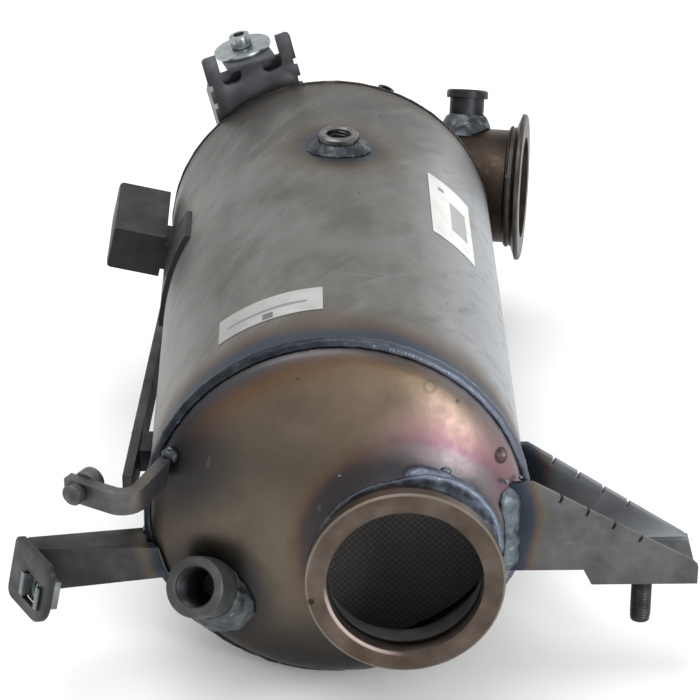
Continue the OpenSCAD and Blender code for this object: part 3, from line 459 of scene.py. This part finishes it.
# The faces that look towards the middle of the cap are its inside, and take the soot.
soot_finish = mottled("soot", 120, (0.3, (0.050, 0.050, 0.050)), (0.7, (0.095, 0.091, 0.087)),
                      rough=0.9, fine=None, metallic=0.0, specular=0.2)
cap_skin = merged_copy("outlet_cap", "outlet_cap_skin")
bpy.ops.object.shade_smooth_by_angle(angle=math.radians(40))
cap_skin.data.materials.append(cap_finish)
cap_skin.data.materials.append(soot_finish)
for face in cap_skin.data.polygons:
    face.material_index = int(face.normal.dot(face.center - cap_middle) < 0)


# Weld beads: each is one run of stainless filler wire, rippled and blue-grey with oxide.
# The beads on the can and the bosses are dark, those at the inlet are brown, and the one
# on the right bracket is bright.
glint_white = (0.36, 0.37, 0.38)
bead_lumps = bpy.data.textures.new("bead_lumps", "CLOUDS")
bead_lumps.noise_scale = 0.0055
bead_lumps.noise_depth = 1


def roughen(piece, finish, lump=0.0007, voxel=0.00045, soften=3, level=0.5):
    """Makes filler metal of a form: remeshed finely, softened and lumpy. A lower level swells it."""
    modify(piece, "REMESH", mode="VOXEL", voxel_size=voxel, use_smooth_shade=True)
    modify(piece, "SMOOTH", factor=0.5, iterations=soften)
    modify(piece, "DISPLACE", texture=bead_lumps, strength=lump, mid_level=level)
    modify(piece, "SMOOTH", factor=0.5, iterations=3)
    bpy.ops.object.shade_smooth()
    piece.data.materials.append(finish)


def bead(node, finish, **shape):
    """A weld bead in place of a CAD node."""
    roughen(merged_copy(node, node + "_run"), finish, **shape)


def bead_finish(name, dark, middle, light, rough, centre=None, ripples=0, right=None, reach=0.055):
    """Oxide on a weld bead with painted glints, ripples round a centre line, and a right side made paler by
    painted light if asked.
    """
    finish, tree, shader, where = new_finish(name)
    marks = grain(tree, where, scale=130, detail=5)
    crest = grain(tree, where, scale=380, detail=2)
    tone = ramp(tree, marks, (0.3, dark), (0.5, middle), (0.75, light))
    height = crest
    if centre is not None:
        _, _, across, up = round_axis(tree, where, centre)
        turn = calc(tree, "MULTIPLY", calc(tree, "ARCTAN2", across, up), ripples)
        wave = calc(tree, "SINE", calc(tree, "ADD", turn, calc(tree, "MULTIPLY", crest, 6.0)))
        height = calc(tree, "ADD", crest, calc(tree, "MULTIPLY", wave, 0.22))
        # Painted light: the right side of the bead is made paler.
        if right:
            tone = veil(tree, tone, right, across, between=(-0.3 * reach, reach), amount=(0.0, 0.92))
    glint = grain(tree, where, scale=170, detail=1)
    tone = veil(tree, tone, glint_white, glint, between=(0.70, 0.78), amount=(0.0, 0.6))
    roughness = rise(tree, crest, 0.3, 0.7, rough + 0.08, rough - 0.08)
    paint(tree, shader, tone, roughness, height, strength=0.35, distance=0.0003)
    return finish


rim_bead = bead_finish("rim_bead", (0.015, 0.018, 0.022), (0.026, 0.030, 0.037), (0.052, 0.058, 0.068),
                       rough=0.45, centre=can_axis, ripples=300, right=(0.125, 0.142, 0.180))
dark_bead = bead_finish("dark_bead", (0.026, 0.030, 0.035), (0.052, 0.058, 0.066), (0.105, 0.114, 0.125),
                        rough=0.42)
boss_bead = bead_finish("boss_bead", (0.045, 0.052, 0.056), (0.080, 0.090, 0.096), (0.150, 0.163, 0.172),
                        rough=0.52)
flange_bead = bead_finish("flange_bead", (0.035, 0.040, 0.050), (0.062, 0.070, 0.086), (0.105, 0.118, 0.140),
                          rough=0.50, centre=Vector((0, 0, 0)), ripples=90, right=(0.165, 0.194, 0.246),
                          reach=0.014)
bright_bead = bead_finish("bright_bead", (0.080, 0.098, 0.112), (0.125, 0.152, 0.170), (0.180, 0.208, 0.228),
                          rough=0.54)
brown_bead = bead_finish("brown_bead", (0.022, 0.018, 0.015), (0.045, 0.034, 0.026), (0.085, 0.066, 0.050),
                         rough=0.45)
bead("outlet_rim_weld", rim_bead, lump=0.0007)
bead("inlet_rim_weld", brown_bead, lump=0.0005)
bead("outlet_flange_weld", flange_bead, lump=0.0014, soften=10, level=0.1)
bead("right_bracket_weld", bright_bead, lump=0.0016, soften=6)
bead("top_boss_weld", dark_bead, lump=0.0022, soften=20)
bead("outlet_boss_weld", boss_bead, lump=0.0019, soften=24)
bead("inlet_boss_weld", dark_bead, lump=0.0018, soften=24)
bead("hook_weld", dark_bead, lump=0.0012, voxel=0.0003, soften=6)
bead("channel_weld", dark_bead, lump=0.0006, voxel=0.0003)
bead("inlet_pipe_weld", brown_bead, lump=0.0010)
bead("inlet_flange_weld", brown_bead, lump=0.0004)


# Hand run: stainless filler laid by hand over the outlet flange's bead, on its upper right.
# It is a bright, uneven sausage of metal that thins out towards its lower end.
outlet_axis = Vector(mounts["outlet_bore"]["axis"])
outlet_tilt = math.asin(outlet_axis.z)
run_depth = 0.0184
run_radius = 0.0374
run_size = 0.0047
run_turn = math.radians(86)
run_taper = 0.35
run_blunt = 0.02
bpy.ops.object.select_all(action="DESELECT")
bpy.ops.mesh.primitive_circle_add(vertices=16, radius=run_size, location=(0, run_depth, run_radius),
                                  rotation=(0, math.pi / 2, 0))
hand_run = bpy.context.object
hand_run.name = "outlet_flange_hand_run"
bpy.ops.object.transform_apply()
bpy.ops.object.mode_set(mode="EDIT")
bpy.ops.mesh.select_all(action="SELECT")
bpy.ops.mesh.spin(steps=42, angle=-run_turn, center=(0, run_depth, 0), axis=(0, 1, 0))
bpy.ops.object.mode_set(mode="OBJECT")
for corner in hand_run.data.vertices:
    turn = math.atan2(corner.co.x, corner.co.z)
    share = turn / run_turn
    middle = Vector((run_radius * math.sin(turn), run_depth, run_radius * math.cos(turn)))
    thick = math.sqrt(max(run_blunt, 1 - (2 * share - 1) ** 6)) * (1.0 - run_taper * share)
    corner.co = middle + (corner.co - middle) * thick
hand_run.data.transform(Matrix.Rotation(-outlet_tilt, 4, "X"))
turn_outwards(merge=merge_gap, open_sides=0)
run_bead = bead_finish("run_bead", (0.100, 0.118, 0.150), (0.155, 0.182, 0.230), (0.215, 0.246, 0.300),
                       rough=0.50)
roughen(hand_run, run_bead, lump=0.0012, soften=8)
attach(hand_run, "root")


# Spatter: drops of molten wire that flew off during the welding and froze on the cap.
# Each is a bright, lumpy ball, flattened and half sunk into the sheet.
spatter = (((0.0165, 0.0258, 0.0348), 0.0021), ((-0.0912, 0.0405, 0.0375), 0.0010),
           ((0.0405, 0.0335, 0.0255), 0.0013), ((0.0465, 0.0398, 0.0235), 0.0010),
           ((-0.0250, 0.0262, 0.0330), 0.0008))
for number, (place, size) in enumerate(spatter, 1):
    bpy.ops.object.select_all(action="DESELECT")
    bpy.ops.mesh.primitive_ico_sphere_add(subdivisions=4, radius=size)
    ball = bpy.context.object
    ball.name = "spatter_%d" % number
    bpy.ops.object.mode_set(mode="EDIT")
    bpy.ops.mesh.select_all(action="SELECT")
    bpy.ops.transform.resize(value=(1.0, 0.75, 0.9), center_override=(0, 0, 0))
    bpy.ops.transform.translate(value=place)
    bpy.ops.object.mode_set(mode="OBJECT")
    modify(ball, "DISPLACE", texture=bead_lumps, strength=size * 0.4)
    bpy.ops.object.shade_smooth()
    ball.data.materials.append(bright_bead)
    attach(ball, "root")


# Outlet flange: a clamp ring turned from bar, slipped over the cap's neck and welded on behind.
# Heat has turned it tan. Its flat face has fine turning marks and a nick, and its mouth has a
# chamfer. Painted highlights pale its outer edge, its lip and the start of its bore, and soot darkens the
# bore behind that.
bore_radius = mounts["outlet_bore"]["dims"]["r_mm"] / 1000
lip_edge = 0.0384
mouth_chamfer = 0.0016
mouth_slack = 0.0002
nick_place = Vector((-0.0365, -0.0005, -0.0075))
ring_clouds = ((0.3, (0.055, 0.042, 0.033)), (0.5, (0.080, 0.063, 0.051)), (0.75, (0.118, 0.096, 0.079)))
turned_tan = (0.15, 0.125, 0.105)
outer_edge_highlight = (0.26, 0.225, 0.19)
lip_highlight_pink = (0.42, 0.34, 0.31)
nick_black = (0.02, 0.018, 0.016)
bore_soot = (0.035, 0.030, 0.027)
mouth_highlight_tan = (0.30, 0.250, 0.222)
ring_finish, tree, shader, where = new_finish("turned_ring")
square_on = put(tree, "ShaderNodeMapping", {"Vector": where, "Rotation": (outlet_tilt, 0, 0)}).outputs[0]
span, depth, across, up = round_axis(tree, square_on, Vector((0, 0, 0)))
cloud = grain(tree, where, scale=70, detail=5)
outward = put(tree, "ShaderNodeCombineXYZ", {0: span}).outputs[0]
turning = put(tree, "ShaderNodeTexWave",
              {"Vector": outward, "Scale": 420, "Distortion": 1.5, "Detail": 2}).outputs["Fac"]
tone = ramp(tree, cloud, *ring_clouds)
tone = veil(tree, tone, turned_tan, turning, between=(0.3, 0.9), amount=(0.0, 0.10))
# Painted highlight along the ring's outer edge.
edge = apart(tree, span, lip_edge)
tone = veil(tree, tone, outer_edge_highlight, edge, between=(0.0002, 0.0008), amount=(0.5, 0.0))
# Painted highlight: a pale pink crescent on the mouth's lip at the lower left.
lip_highlight = rise(tree, span, bore_radius + 0.0014, bore_radius + 0.0020, 0.9, 0.0)
low_left = calc(tree, "MULTIPLY", calc(tree, "ADD", across, up), math.sqrt(0.5))
lip_highlight = calc(tree, "MULTIPLY", lip_highlight, rise(tree, low_left, -0.0290, -0.0215, 1.0, 0.0))
tone = over(tree, lip_highlight, tone, (*lip_highlight_pink, 1))
nick = distance_to(tree, where, nick_place)
tone = veil(tree, tone, nick_black, nick, between=(0.0008, 0.0020), amount=(0.9, 0.0))
bore = rise(tree, span, bore_radius + 0.00015, bore_radius + 0.0006, 1.0, 0.0)
sooty = calc(tree, "MULTIPLY", bore, rise(tree, depth, 0.003, 0.007, 0.0, 0.85))
tone = over(tree, sooty, tone, (*bore_soot, 1))
# Painted highlight: the first few millimetres of the bore behind the mouth are made pale.
mouth_highlight = calc(tree, "MULTIPLY", bore, rise(tree, depth, 0.002, 0.006, 0.9, 0.0))
tone = over(tree, mouth_highlight, tone, (*mouth_highlight_tan, 1))
rough = rise(tree, cloud, 0.25, 0.75, to_low=0.46, to_high=0.34)
paint(tree, shader, tone, rough, turning, strength=0.12, distance=0.00004)
outlet_ring = merged_copy("outlet_flange", "outlet_flange_ring")
bpy.ops.object.mode_set(mode="EDIT")
bpy.ops.mesh.select_all(action="SELECT")
bpy.ops.mesh.dissolve_limited(angle_limit=math.radians(0.3))
bpy.ops.mesh.select_mode(type="EDGE")
bpy.ops.mesh.select_all(action="DESELECT")
bpy.ops.object.mode_set(mode="OBJECT")
upright = Matrix.Rotation(outlet_tilt, 3, "X")
for edge in outlet_ring.data.edges:
    ends = [upright @ outlet_ring.data.vertices[end].co for end in edge.vertices]
    on_face = all(abs(end.y) < mouth_slack for end in ends)
    on_bore = all(abs(math.hypot(end.x, end.z) - bore_radius) < mouth_slack for end in ends)
    edge.select = on_face and on_bore
bpy.ops.object.mode_set(mode="EDIT")
bpy.ops.mesh.bevel(offset=mouth_chamfer, segments=2, affect="EDGES")
bpy.ops.mesh.select_mode(type="VERT")
bpy.ops.object.mode_set(mode="OBJECT")
bpy.ops.object.shade_smooth_by_angle(angle=math.radians(30))
outlet_ring.data.materials.append(ring_finish)


# Inlet cap, pipe and flange: the cap is deep drawn and the pipe rolled from stainless sheet.
# Hot gas has turned both a dark copper brown. The flange is turned from bar, and greyer.
inlet_browns = ((0.3, (0.020, 0.015, 0.013)), (0.5, (0.034, 0.026, 0.021)), (0.78, (0.064, 0.047, 0.035)))
glint_copper = (0.115, 0.082, 0.058)
inlet_finish, tree, shader, where = new_finish("browned_inlet")
cloud = grain(tree, where, scale=50, detail=5)
glint = grain(tree, where, scale=150, detail=3, stretch=(1, 0.5, 1))
tone = ramp(tree, cloud, *inlet_browns)
tone = veil(tree, tone, glint_copper, glint, between=(0.55, 0.80), amount=(0.0, 0.45))
rough = rise(tree, cloud, 0.25, 0.75, to_low=0.50, to_high=0.36)
paint(tree, shader, tone, rough, grain(tree, where, scale=300), strength=0.2, distance=0.0001)
for node in ("inlet_cap", "inlet_pipe"):
    dress(node, inlet_finish)
grey_ring = mottled("grey_ring", 90, (0.3, (0.036, 0.032, 0.029)), (0.5, (0.060, 0.054, 0.049)),
                    (0.78, (0.105, 0.098, 0.092)), detail=5, rough=0.42, fine=400)
dress("inlet_flange", grey_ring)


# Filter and catalyst: two extruded ceramic honeycombs with square cells, grey with soot.
# Each is wrapped in a mat of ceramic fibre, which is squeezed into the can and holds it there.
cell = 0.0021
cell_dark = (0.105, 0.103, 0.100)
wall_grey = (0.265, 0.250, 0.230)
low_darkening = (0.085, 0.085, 0.086)
comb_finish, tree, shader, where = new_finish("sooty_honeycomb", metallic=0.0, specular=0.25)
turned = put(tree, "ShaderNodeMapping", {"Vector": where, "Rotation": (0, math.radians(45), 0)}).outputs[0]
parts = put(tree, "ShaderNodeSeparateXYZ", {0: turned}).outputs
walls = None
for side in (parts[0], parts[2]):
    place = calc(tree, "FRACT", calc(tree, "DIVIDE", side, cell))
    wall = rise(tree, apart(tree, place, 0.5), 0.32, 0.42)
    walls = wall if walls is None else calc(tree, "MAXIMUM", walls, wall)
tone = over(tree, walls, (*cell_dark, 1), (*wall_grey, 1))
height = put(tree, "ShaderNodeSeparateXYZ", {0: where}).outputs[2]
# The combs turn darker towards the bottom.
tone = veil(tree, tone, low_darkening, height, between=(-0.030, 0.030), amount=(0.7, 0.0))
paint(tree, shader, tone, 0.9, walls, strength=0.6, distance=0.0006)
for node in ("filter_monolith", "catalyst_monolith"):
    dress(node, comb_finish)
mat_finish = mottled("fibre_mat", 400, (0.3, (0.45, 0.43, 0.38)), (0.7, (0.62, 0.60, 0.54)),
                     rough=0.95, fine=900, strength=0.4, distance=0.0003, metallic=0.0, specular=0.2)
for node in ("filter_mat", "catalyst_mat"):
    dress(node, mat_finish)


# Sensor bosses and pressure stub: turned steel with a threaded bore, welded into the sheet.
# The welding heat has darkened them. The top boss was wiped clean, so its rim is bright.
boss_pitch = 0.0015
boss_ridge = -0.0005
boss_bore_dark = (0.035, 0.036, 0.038)


def thread(name, place, axis, radius, length, pitch, depth, finish):
    """A thread ridge: a small triangle swept round an axis. A negative depth points inwards."""
    bpy.ops.mesh.primitive_circle_add(vertices=3)
    ridge = bpy.context.object
    ridge.name = name
    root = radius - depth * 0.4
    half = pitch * 0.46
    corners = ((radius + depth, 0.0), (root, half), (root, -half))
    for corner, (out, level) in zip(ridge.data.vertices, corners):
        corner.co = (out, 0.0, level)
    modify(ridge, "SCREW", axis="Z", angle=math.tau, screw_offset=pitch,
           iterations=max(1, int(length / pitch) - 1), steps=28, render_steps=28)
    turn_outwards(merge=merge_gap, open_sides=4)
    start = Matrix.Translation(place + axis * pitch * 0.6)
    ridge.data.transform(start @ axis.to_track_quat("Z", "Y").to_matrix().to_4x4())
    bpy.ops.object.shade_smooth_by_angle(angle=math.radians(30))
    ridge.data.materials.append(finish)
    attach(ridge, "root")


def thread_at(mount_name, name, pitch, depth, finish, start=0.0, stop=0.0):
    """The thread of a hole or stud in the record, less a plain length at its start and at its stop."""
    mount = mounts[mount_name]
    axis = Vector(mount["axis"]).normalized()
    whole = mount["dims"]["length_mm"] / 1000
    place = Vector(mount["pos_m"]) - axis * (whole / 2 - start)
    thread(name, place, axis, mount["dims"]["r_mm"] / 1000, whole - start - stop, pitch, depth, finish)


boss_finish = mottled("dark_boss", 90, (0.3, (0.022, 0.023, 0.026)), (0.5, (0.038, 0.039, 0.042)),
                      (0.75, (0.075, 0.075, 0.078)), detail=5, rough=0.50, smooth=0.36, strength=0.25)
for node in ("inlet_sensor_boss", "pressure_stub"):
    dress(node, boss_finish)
grey_boss = mottled("grey_boss", 90, (0.3, (0.032, 0.034, 0.034)), (0.5, (0.050, 0.053, 0.053)),
                    (0.75, (0.082, 0.086, 0.086)), detail=5, rough=0.62, smooth=0.50, strength=0.25,
                    metallic=0.5)
dress("outlet_sensor_boss", grey_boss)
wiped_boss, tree, shader, where = new_finish("wiped_boss")
tone = ramp(tree, grain(tree, where, scale=160), (0.3, (0.085, 0.082, 0.080)), (0.7, (0.20, 0.195, 0.19)))
height = put(tree, "ShaderNodeSeparateXYZ", {0: where}).outputs[2]
tone = veil(tree, tone, boss_bore_dark, height, between=(0.0820, 0.0868), amount=(0.9, 0.0))
paint(tree, shader, tone, 0.36, grain(tree, where, scale=500), strength=0.2, distance=0.0001)
dress("top_sensor_boss", wiped_boss)
for boss, plain in (("top", 0.0), ("outlet", 0.0), ("inlet", 0.0005)):
    thread_at(boss + "_sensor_thread", boss + "_boss_thread", boss_pitch, boss_ridge, boss_finish,
              start=plain, stop=plain)


# Right bracket: a channel folded from thick sheet and welded to the cap, with snipped edges.
# Its root is blue and brown from the weld. A threaded stud hangs from its foot.
fold_angle = math.radians(38)
inner_wall = 0.066
far_wall_light = (0.225, 0.236, 0.252)
coarse_pitch = 0.00125


def edged_copy(node, name, finish, bevel=0.0006, clamp=True, beyond=None):
    """A copy of a CAD node with its flat faces joined up and its edges rounded.
    Where beyond is given, only what is further than that from the can's axis is rounded."""
    piece = merged_copy(node, name)
    bpy.ops.object.mode_set(mode="EDIT")
    bpy.ops.mesh.select_all(action="SELECT")
    bpy.ops.mesh.dissolve_limited(angle_limit=math.radians(2))
    bpy.ops.object.mode_set(mode="OBJECT")
    limit = {"limit_method": "ANGLE", "angle_limit": fold_angle}
    if beyond:
        group = piece.vertex_groups.new(name="far")
        for corner in piece.data.vertices:
            if math.hypot(corner.co.x - can_axis.x, corner.co.z - can_axis.z) > beyond:
                group.add([corner.index], 1.0, "REPLACE")
        limit = {"limit_method": "VGROUP", "vertex_group": "far"}
    modify(piece, "BEVEL", width=bevel, segments=2, use_clamp_overlap=clamp, **limit)
    bpy.ops.object.shade_smooth_by_angle(angle=math.radians(32))
    piece.data.materials.append(finish)
    return piece


def sheet_finish(name, dark, middle, light, tint, metallic=0.85, far=None):
    """Dull bracket sheet with rolling marks, tinted near the can, and made paler by painted light from a far
    wall on if asked.
    """
    finish, tree, shader, where = new_finish(name, metallic)
    span, along, _, _ = round_axis(tree, where, can_axis)
    cloud = grain(tree, where, scale=55, detail=5)
    rolled = grain(tree, where, scale=240, detail=3, stretch=(0.15, 1, 1))
    tone = ramp(tree, cloud, (0.3, dark), (0.5, middle), (0.75, light))
    rolled_light = [part * 1.6 for part in light]
    tone = veil(tree, tone, rolled_light, rolled, between=(0.6, 0.72), amount=(0.0, 0.15))
    if far:
        # Painted light: from the far wall on, the sheet is made paler.
        tone = veil(tree, tone, far_wall_light, along, between=(far - 0.003, far), amount=(0.0, 0.8))
    near = calc(tree, "SUBTRACT", span, can_radius - 0.003)
    near = calc(tree, "SUBTRACT", near, rise(tree, along, 0.050, 0.062, 0.0, 0.006))
    near = calc(tree, "ADD", near, sway(tree, cloud, 0.008))
    tone = tinted(tree, tone, near, reach=0.012, strength=tint)
    rough = rise(tree, cloud, 0.25, 0.75, to_low=0.56, to_high=0.42)
    fine = grain(tree, where, scale=700, detail=2)
    paint(tree, shader, tone, rough, fine, strength=0.2, distance=0.00008)
    return finish


right_sheet = sheet_finish("right_sheet", (0.056, 0.057, 0.057), (0.090, 0.092, 0.091),
                           (0.130, 0.132, 0.130), tint=0.97, far=inner_wall)
edged_copy("right_bracket", "right_bracket_sheet", right_sheet)
dark_thread = mottled("dark_thread", 220, (0.3, (0.018, 0.018, 0.019)), (0.7, (0.055, 0.055, 0.056)),
                      rough=0.40, fine=600, metallic=0.9)
dress("right_stud", dark_thread)
thread_at("right_stud", "right_stud_thread", coarse_pitch, 0.00028, dark_thread, start=0.002, stop=0.0005)


# Channel bracket: an angle arm with an end plate, whose square window holds a nut in a spring clip.
# The arm is dark from the weld. The nut and the clip are zinc plated, and the clip is duller.
channel_sheet = sheet_finish("channel_sheet", (0.022, 0.022, 0.023), (0.036, 0.036, 0.037),
                             (0.062, 0.062, 0.063), tint=0.7)
edged_copy("channel_bracket", "channel_bracket_sheet", channel_sheet, bevel=0.0008)
zinc_finish = mottled("zinc_plate", 180, (0.3, (0.21, 0.235, 0.245)), (0.7, (0.40, 0.435, 0.45)),
                      rough=0.32)
clip_finish = mottled("dull_zinc", 180, (0.3, (0.085, 0.092, 0.096)), (0.7, (0.215, 0.232, 0.240)),
                      rough=0.40)
edged_copy("cage_clip", "cage_clip_spring", clip_finish, bevel=0.0003)
edged_copy("cage_nut", "cage_nut_block", zinc_finish, bevel=0.0005)
thread_at("cage_nut_thread", "cage_nut_ridge", coarse_pitch, -0.0003, zinc_finish,
          start=0.00005, stop=0.0003)


# Hook arm: a flat steel strap bent back on itself and welded to the cap's rim.
# A short bolt passes through the end of the strap into its nut.
hook_turn = math.radians(31.3)
hook_bolt_axis = Vector((-math.sin(hook_turn), -math.cos(hook_turn), 0.0))
hook_bolt_place = Vector((-0.12635, 0.02120, 0.0300))
hook_sheet = sheet_finish("hook_sheet", (0.050, 0.049, 0.048), (0.092, 0.090, 0.088),
                          (0.170, 0.168, 0.164), tint=0.4)
edged_copy("hook_arm", "hook_arm_strap", hook_sheet, bevel=0.0012)
hook_steel = sheet_finish("hook_steel", (0.036, 0.035, 0.035), (0.105, 0.103, 0.103),
                          (0.215, 0.212, 0.211), tint=0.0)
edged_copy("hook_bolt", "hook_bolt_body", hook_steel, bevel=0.0008)
edged_copy("hook_nut", "hook_nut_body", hook_steel, bevel=0.0008)
thread("hook_bolt_thread", hook_bolt_place, hook_bolt_axis, radius=0.0042, length=0.0042, pitch=0.0010,
       depth=0.00025, finish=dark_thread)


# Box bracket: a black box folded from sheet, open towards the inlet, on a bent saddle.
# The saddle is welded to the can's left side, so only what stands clear of the can is rounded.
box_sheet = sheet_finish("box_sheet", (0.008, 0.0085, 0.009), (0.013, 0.0135, 0.0145),
                         (0.022, 0.023, 0.0245), tint=0.1, metallic=0.6)
edged_copy("box_bracket", "box_bracket_sheet", box_sheet, bevel=0.0018, clamp=False,
           beyond=0.081)


# Side strut: a flat steel bar set on edge along the can's left side, dull as rolled.
# It stands on a foot and a lug that are welded to the can.
strut_sheet = sheet_finish("strut_sheet", (0.020, 0.020, 0.021), (0.032, 0.032, 0.033),
                           (0.055, 0.055, 0.056), tint=0.15)
edged_copy("side_strut", "side_strut_bar", strut_sheet, bevel=0.0006)


# Top bracket: folded from sheet and welded to the inlet cap, with a tongue between two cheeks.
# A zinc plated bolt with a hexagon socket clamps a wide washer on the tongue.
top_lean = math.radians(14)
bolt_axis = Vector((-math.sin(top_lean), 0.0, math.cos(top_lean)))
socket_middle = Vector((-0.06880, 0.33065, 0.09519))
socket_radius = 0.0030
socket_depth = 0.006
top_sheet = sheet_finish("top_sheet", (0.036, 0.038, 0.042), (0.060, 0.063, 0.069),
                         (0.095, 0.099, 0.107), tint=0.0, metallic=0.5)
edged_copy("top_bracket", "top_bracket_sheet", top_sheet, bevel=0.0005)
edged_copy("top_washer", "top_washer_disc", zinc_finish, bevel=0.0004)
top_bolt = edged_copy("top_bolt", "top_bolt_body", zinc_finish, bevel=0.0008)
bpy.ops.object.select_all(action="DESELECT")
bpy.ops.mesh.primitive_cylinder_add(vertices=6, radius=socket_radius, depth=socket_depth)
socket_tool = bpy.context.object
along_bolt = bolt_axis.to_track_quat("Z", "Y").to_matrix().to_4x4()
socket_tool.data.transform(Matrix.Translation(socket_middle) @ along_bolt)
bpy.context.view_layer.objects.active = top_bolt
modify(top_bolt, "BOOLEAN", operation="DIFFERENCE", solver="EXACT", object=socket_tool)
bpy.data.objects.remove(socket_tool)


# Studio: a white floor and a white world that the metal reflects too, with three soft lamps.
# The camera stands where the photograph's stood.
floor_gap = 0.0005
bpy.ops.mesh.primitive_plane_add(size=12, location=(0, 0, cad_box[0].z - floor_gap))
floor = bpy.context.object
floor.name = "studio_floor"
floor_finish = bpy.data.materials.new("studio_white")
floor_finish.use_nodes = True
floor_shader = floor_finish.node_tree.nodes["Principled BSDF"]
floor_shader.inputs["Base Color"].default_value = (0.95, 0.95, 0.95, 1)
floor_shader.inputs["Roughness"].default_value = 0.9
floor.data.materials.append(floor_finish)

world = bpy.data.worlds.new("studio_world")
bpy.context.scene.world = world
world.use_nodes = True
tree = world.node_tree
path = put(tree, "ShaderNodeLightPath")
seen = calc(tree, "MAXIMUM", path.outputs["Is Camera Ray"], path.outputs["Is Glossy Ray"])
seen = calc(tree, "MAXIMUM", seen, path.outputs["Is Transmission Ray"])
tree.links.new(rise(tree, seen, 0.0, 1.0, 0.98, 1.0), tree.nodes["Background"].inputs["Strength"])
tree.nodes["Background"].inputs["Color"].default_value = (1, 1, 1, 1)


def lamp(name, place, target, size, power):
    """A square soft lamp that looks at a target."""
    light = bpy.data.lights.new(name, "AREA")
    light.shape = "SQUARE"
    light.size = size
    light.energy = power
    made = bpy.data.objects.new(name, light)
    made.location = place
    made.rotation_euler = (Vector(target) - Vector(place)).to_track_quat("-Z", "Y").to_euler()
    bpy.context.scene.collection.objects.link(made)


lamp("top_lamp", place=(-0.3, 0.1, 1.3), target=(0, 0.15, 0), size=1.0, power=9)
lamp("front_right_lamp", place=(0.605, -0.675, 0.365), target=(0.02, 0.04, 0.05), size=0.30, power=4.2)
lamp("back_right_lamp", place=(0.95, 1.7, 0.45), target=(0, 0.15, 0.05), size=0.7, power=1.5)

camera_data = bpy.data.cameras.new("photo_camera")
camera_data.sensor_width = 36
camera_data.lens = 142.237
camera = bpy.data.objects.new("photo_camera", camera_data)
camera.location = (-0.0356, -0.8948, 0.5811)
camera.rotation_euler = (math.radians(61.85), 0, math.radians(-0.913))
bpy.context.scene.collection.objects.link(camera)
bpy.context.scene.camera = camera
bpy.context.scene.view_settings.view_transform = "Standard"
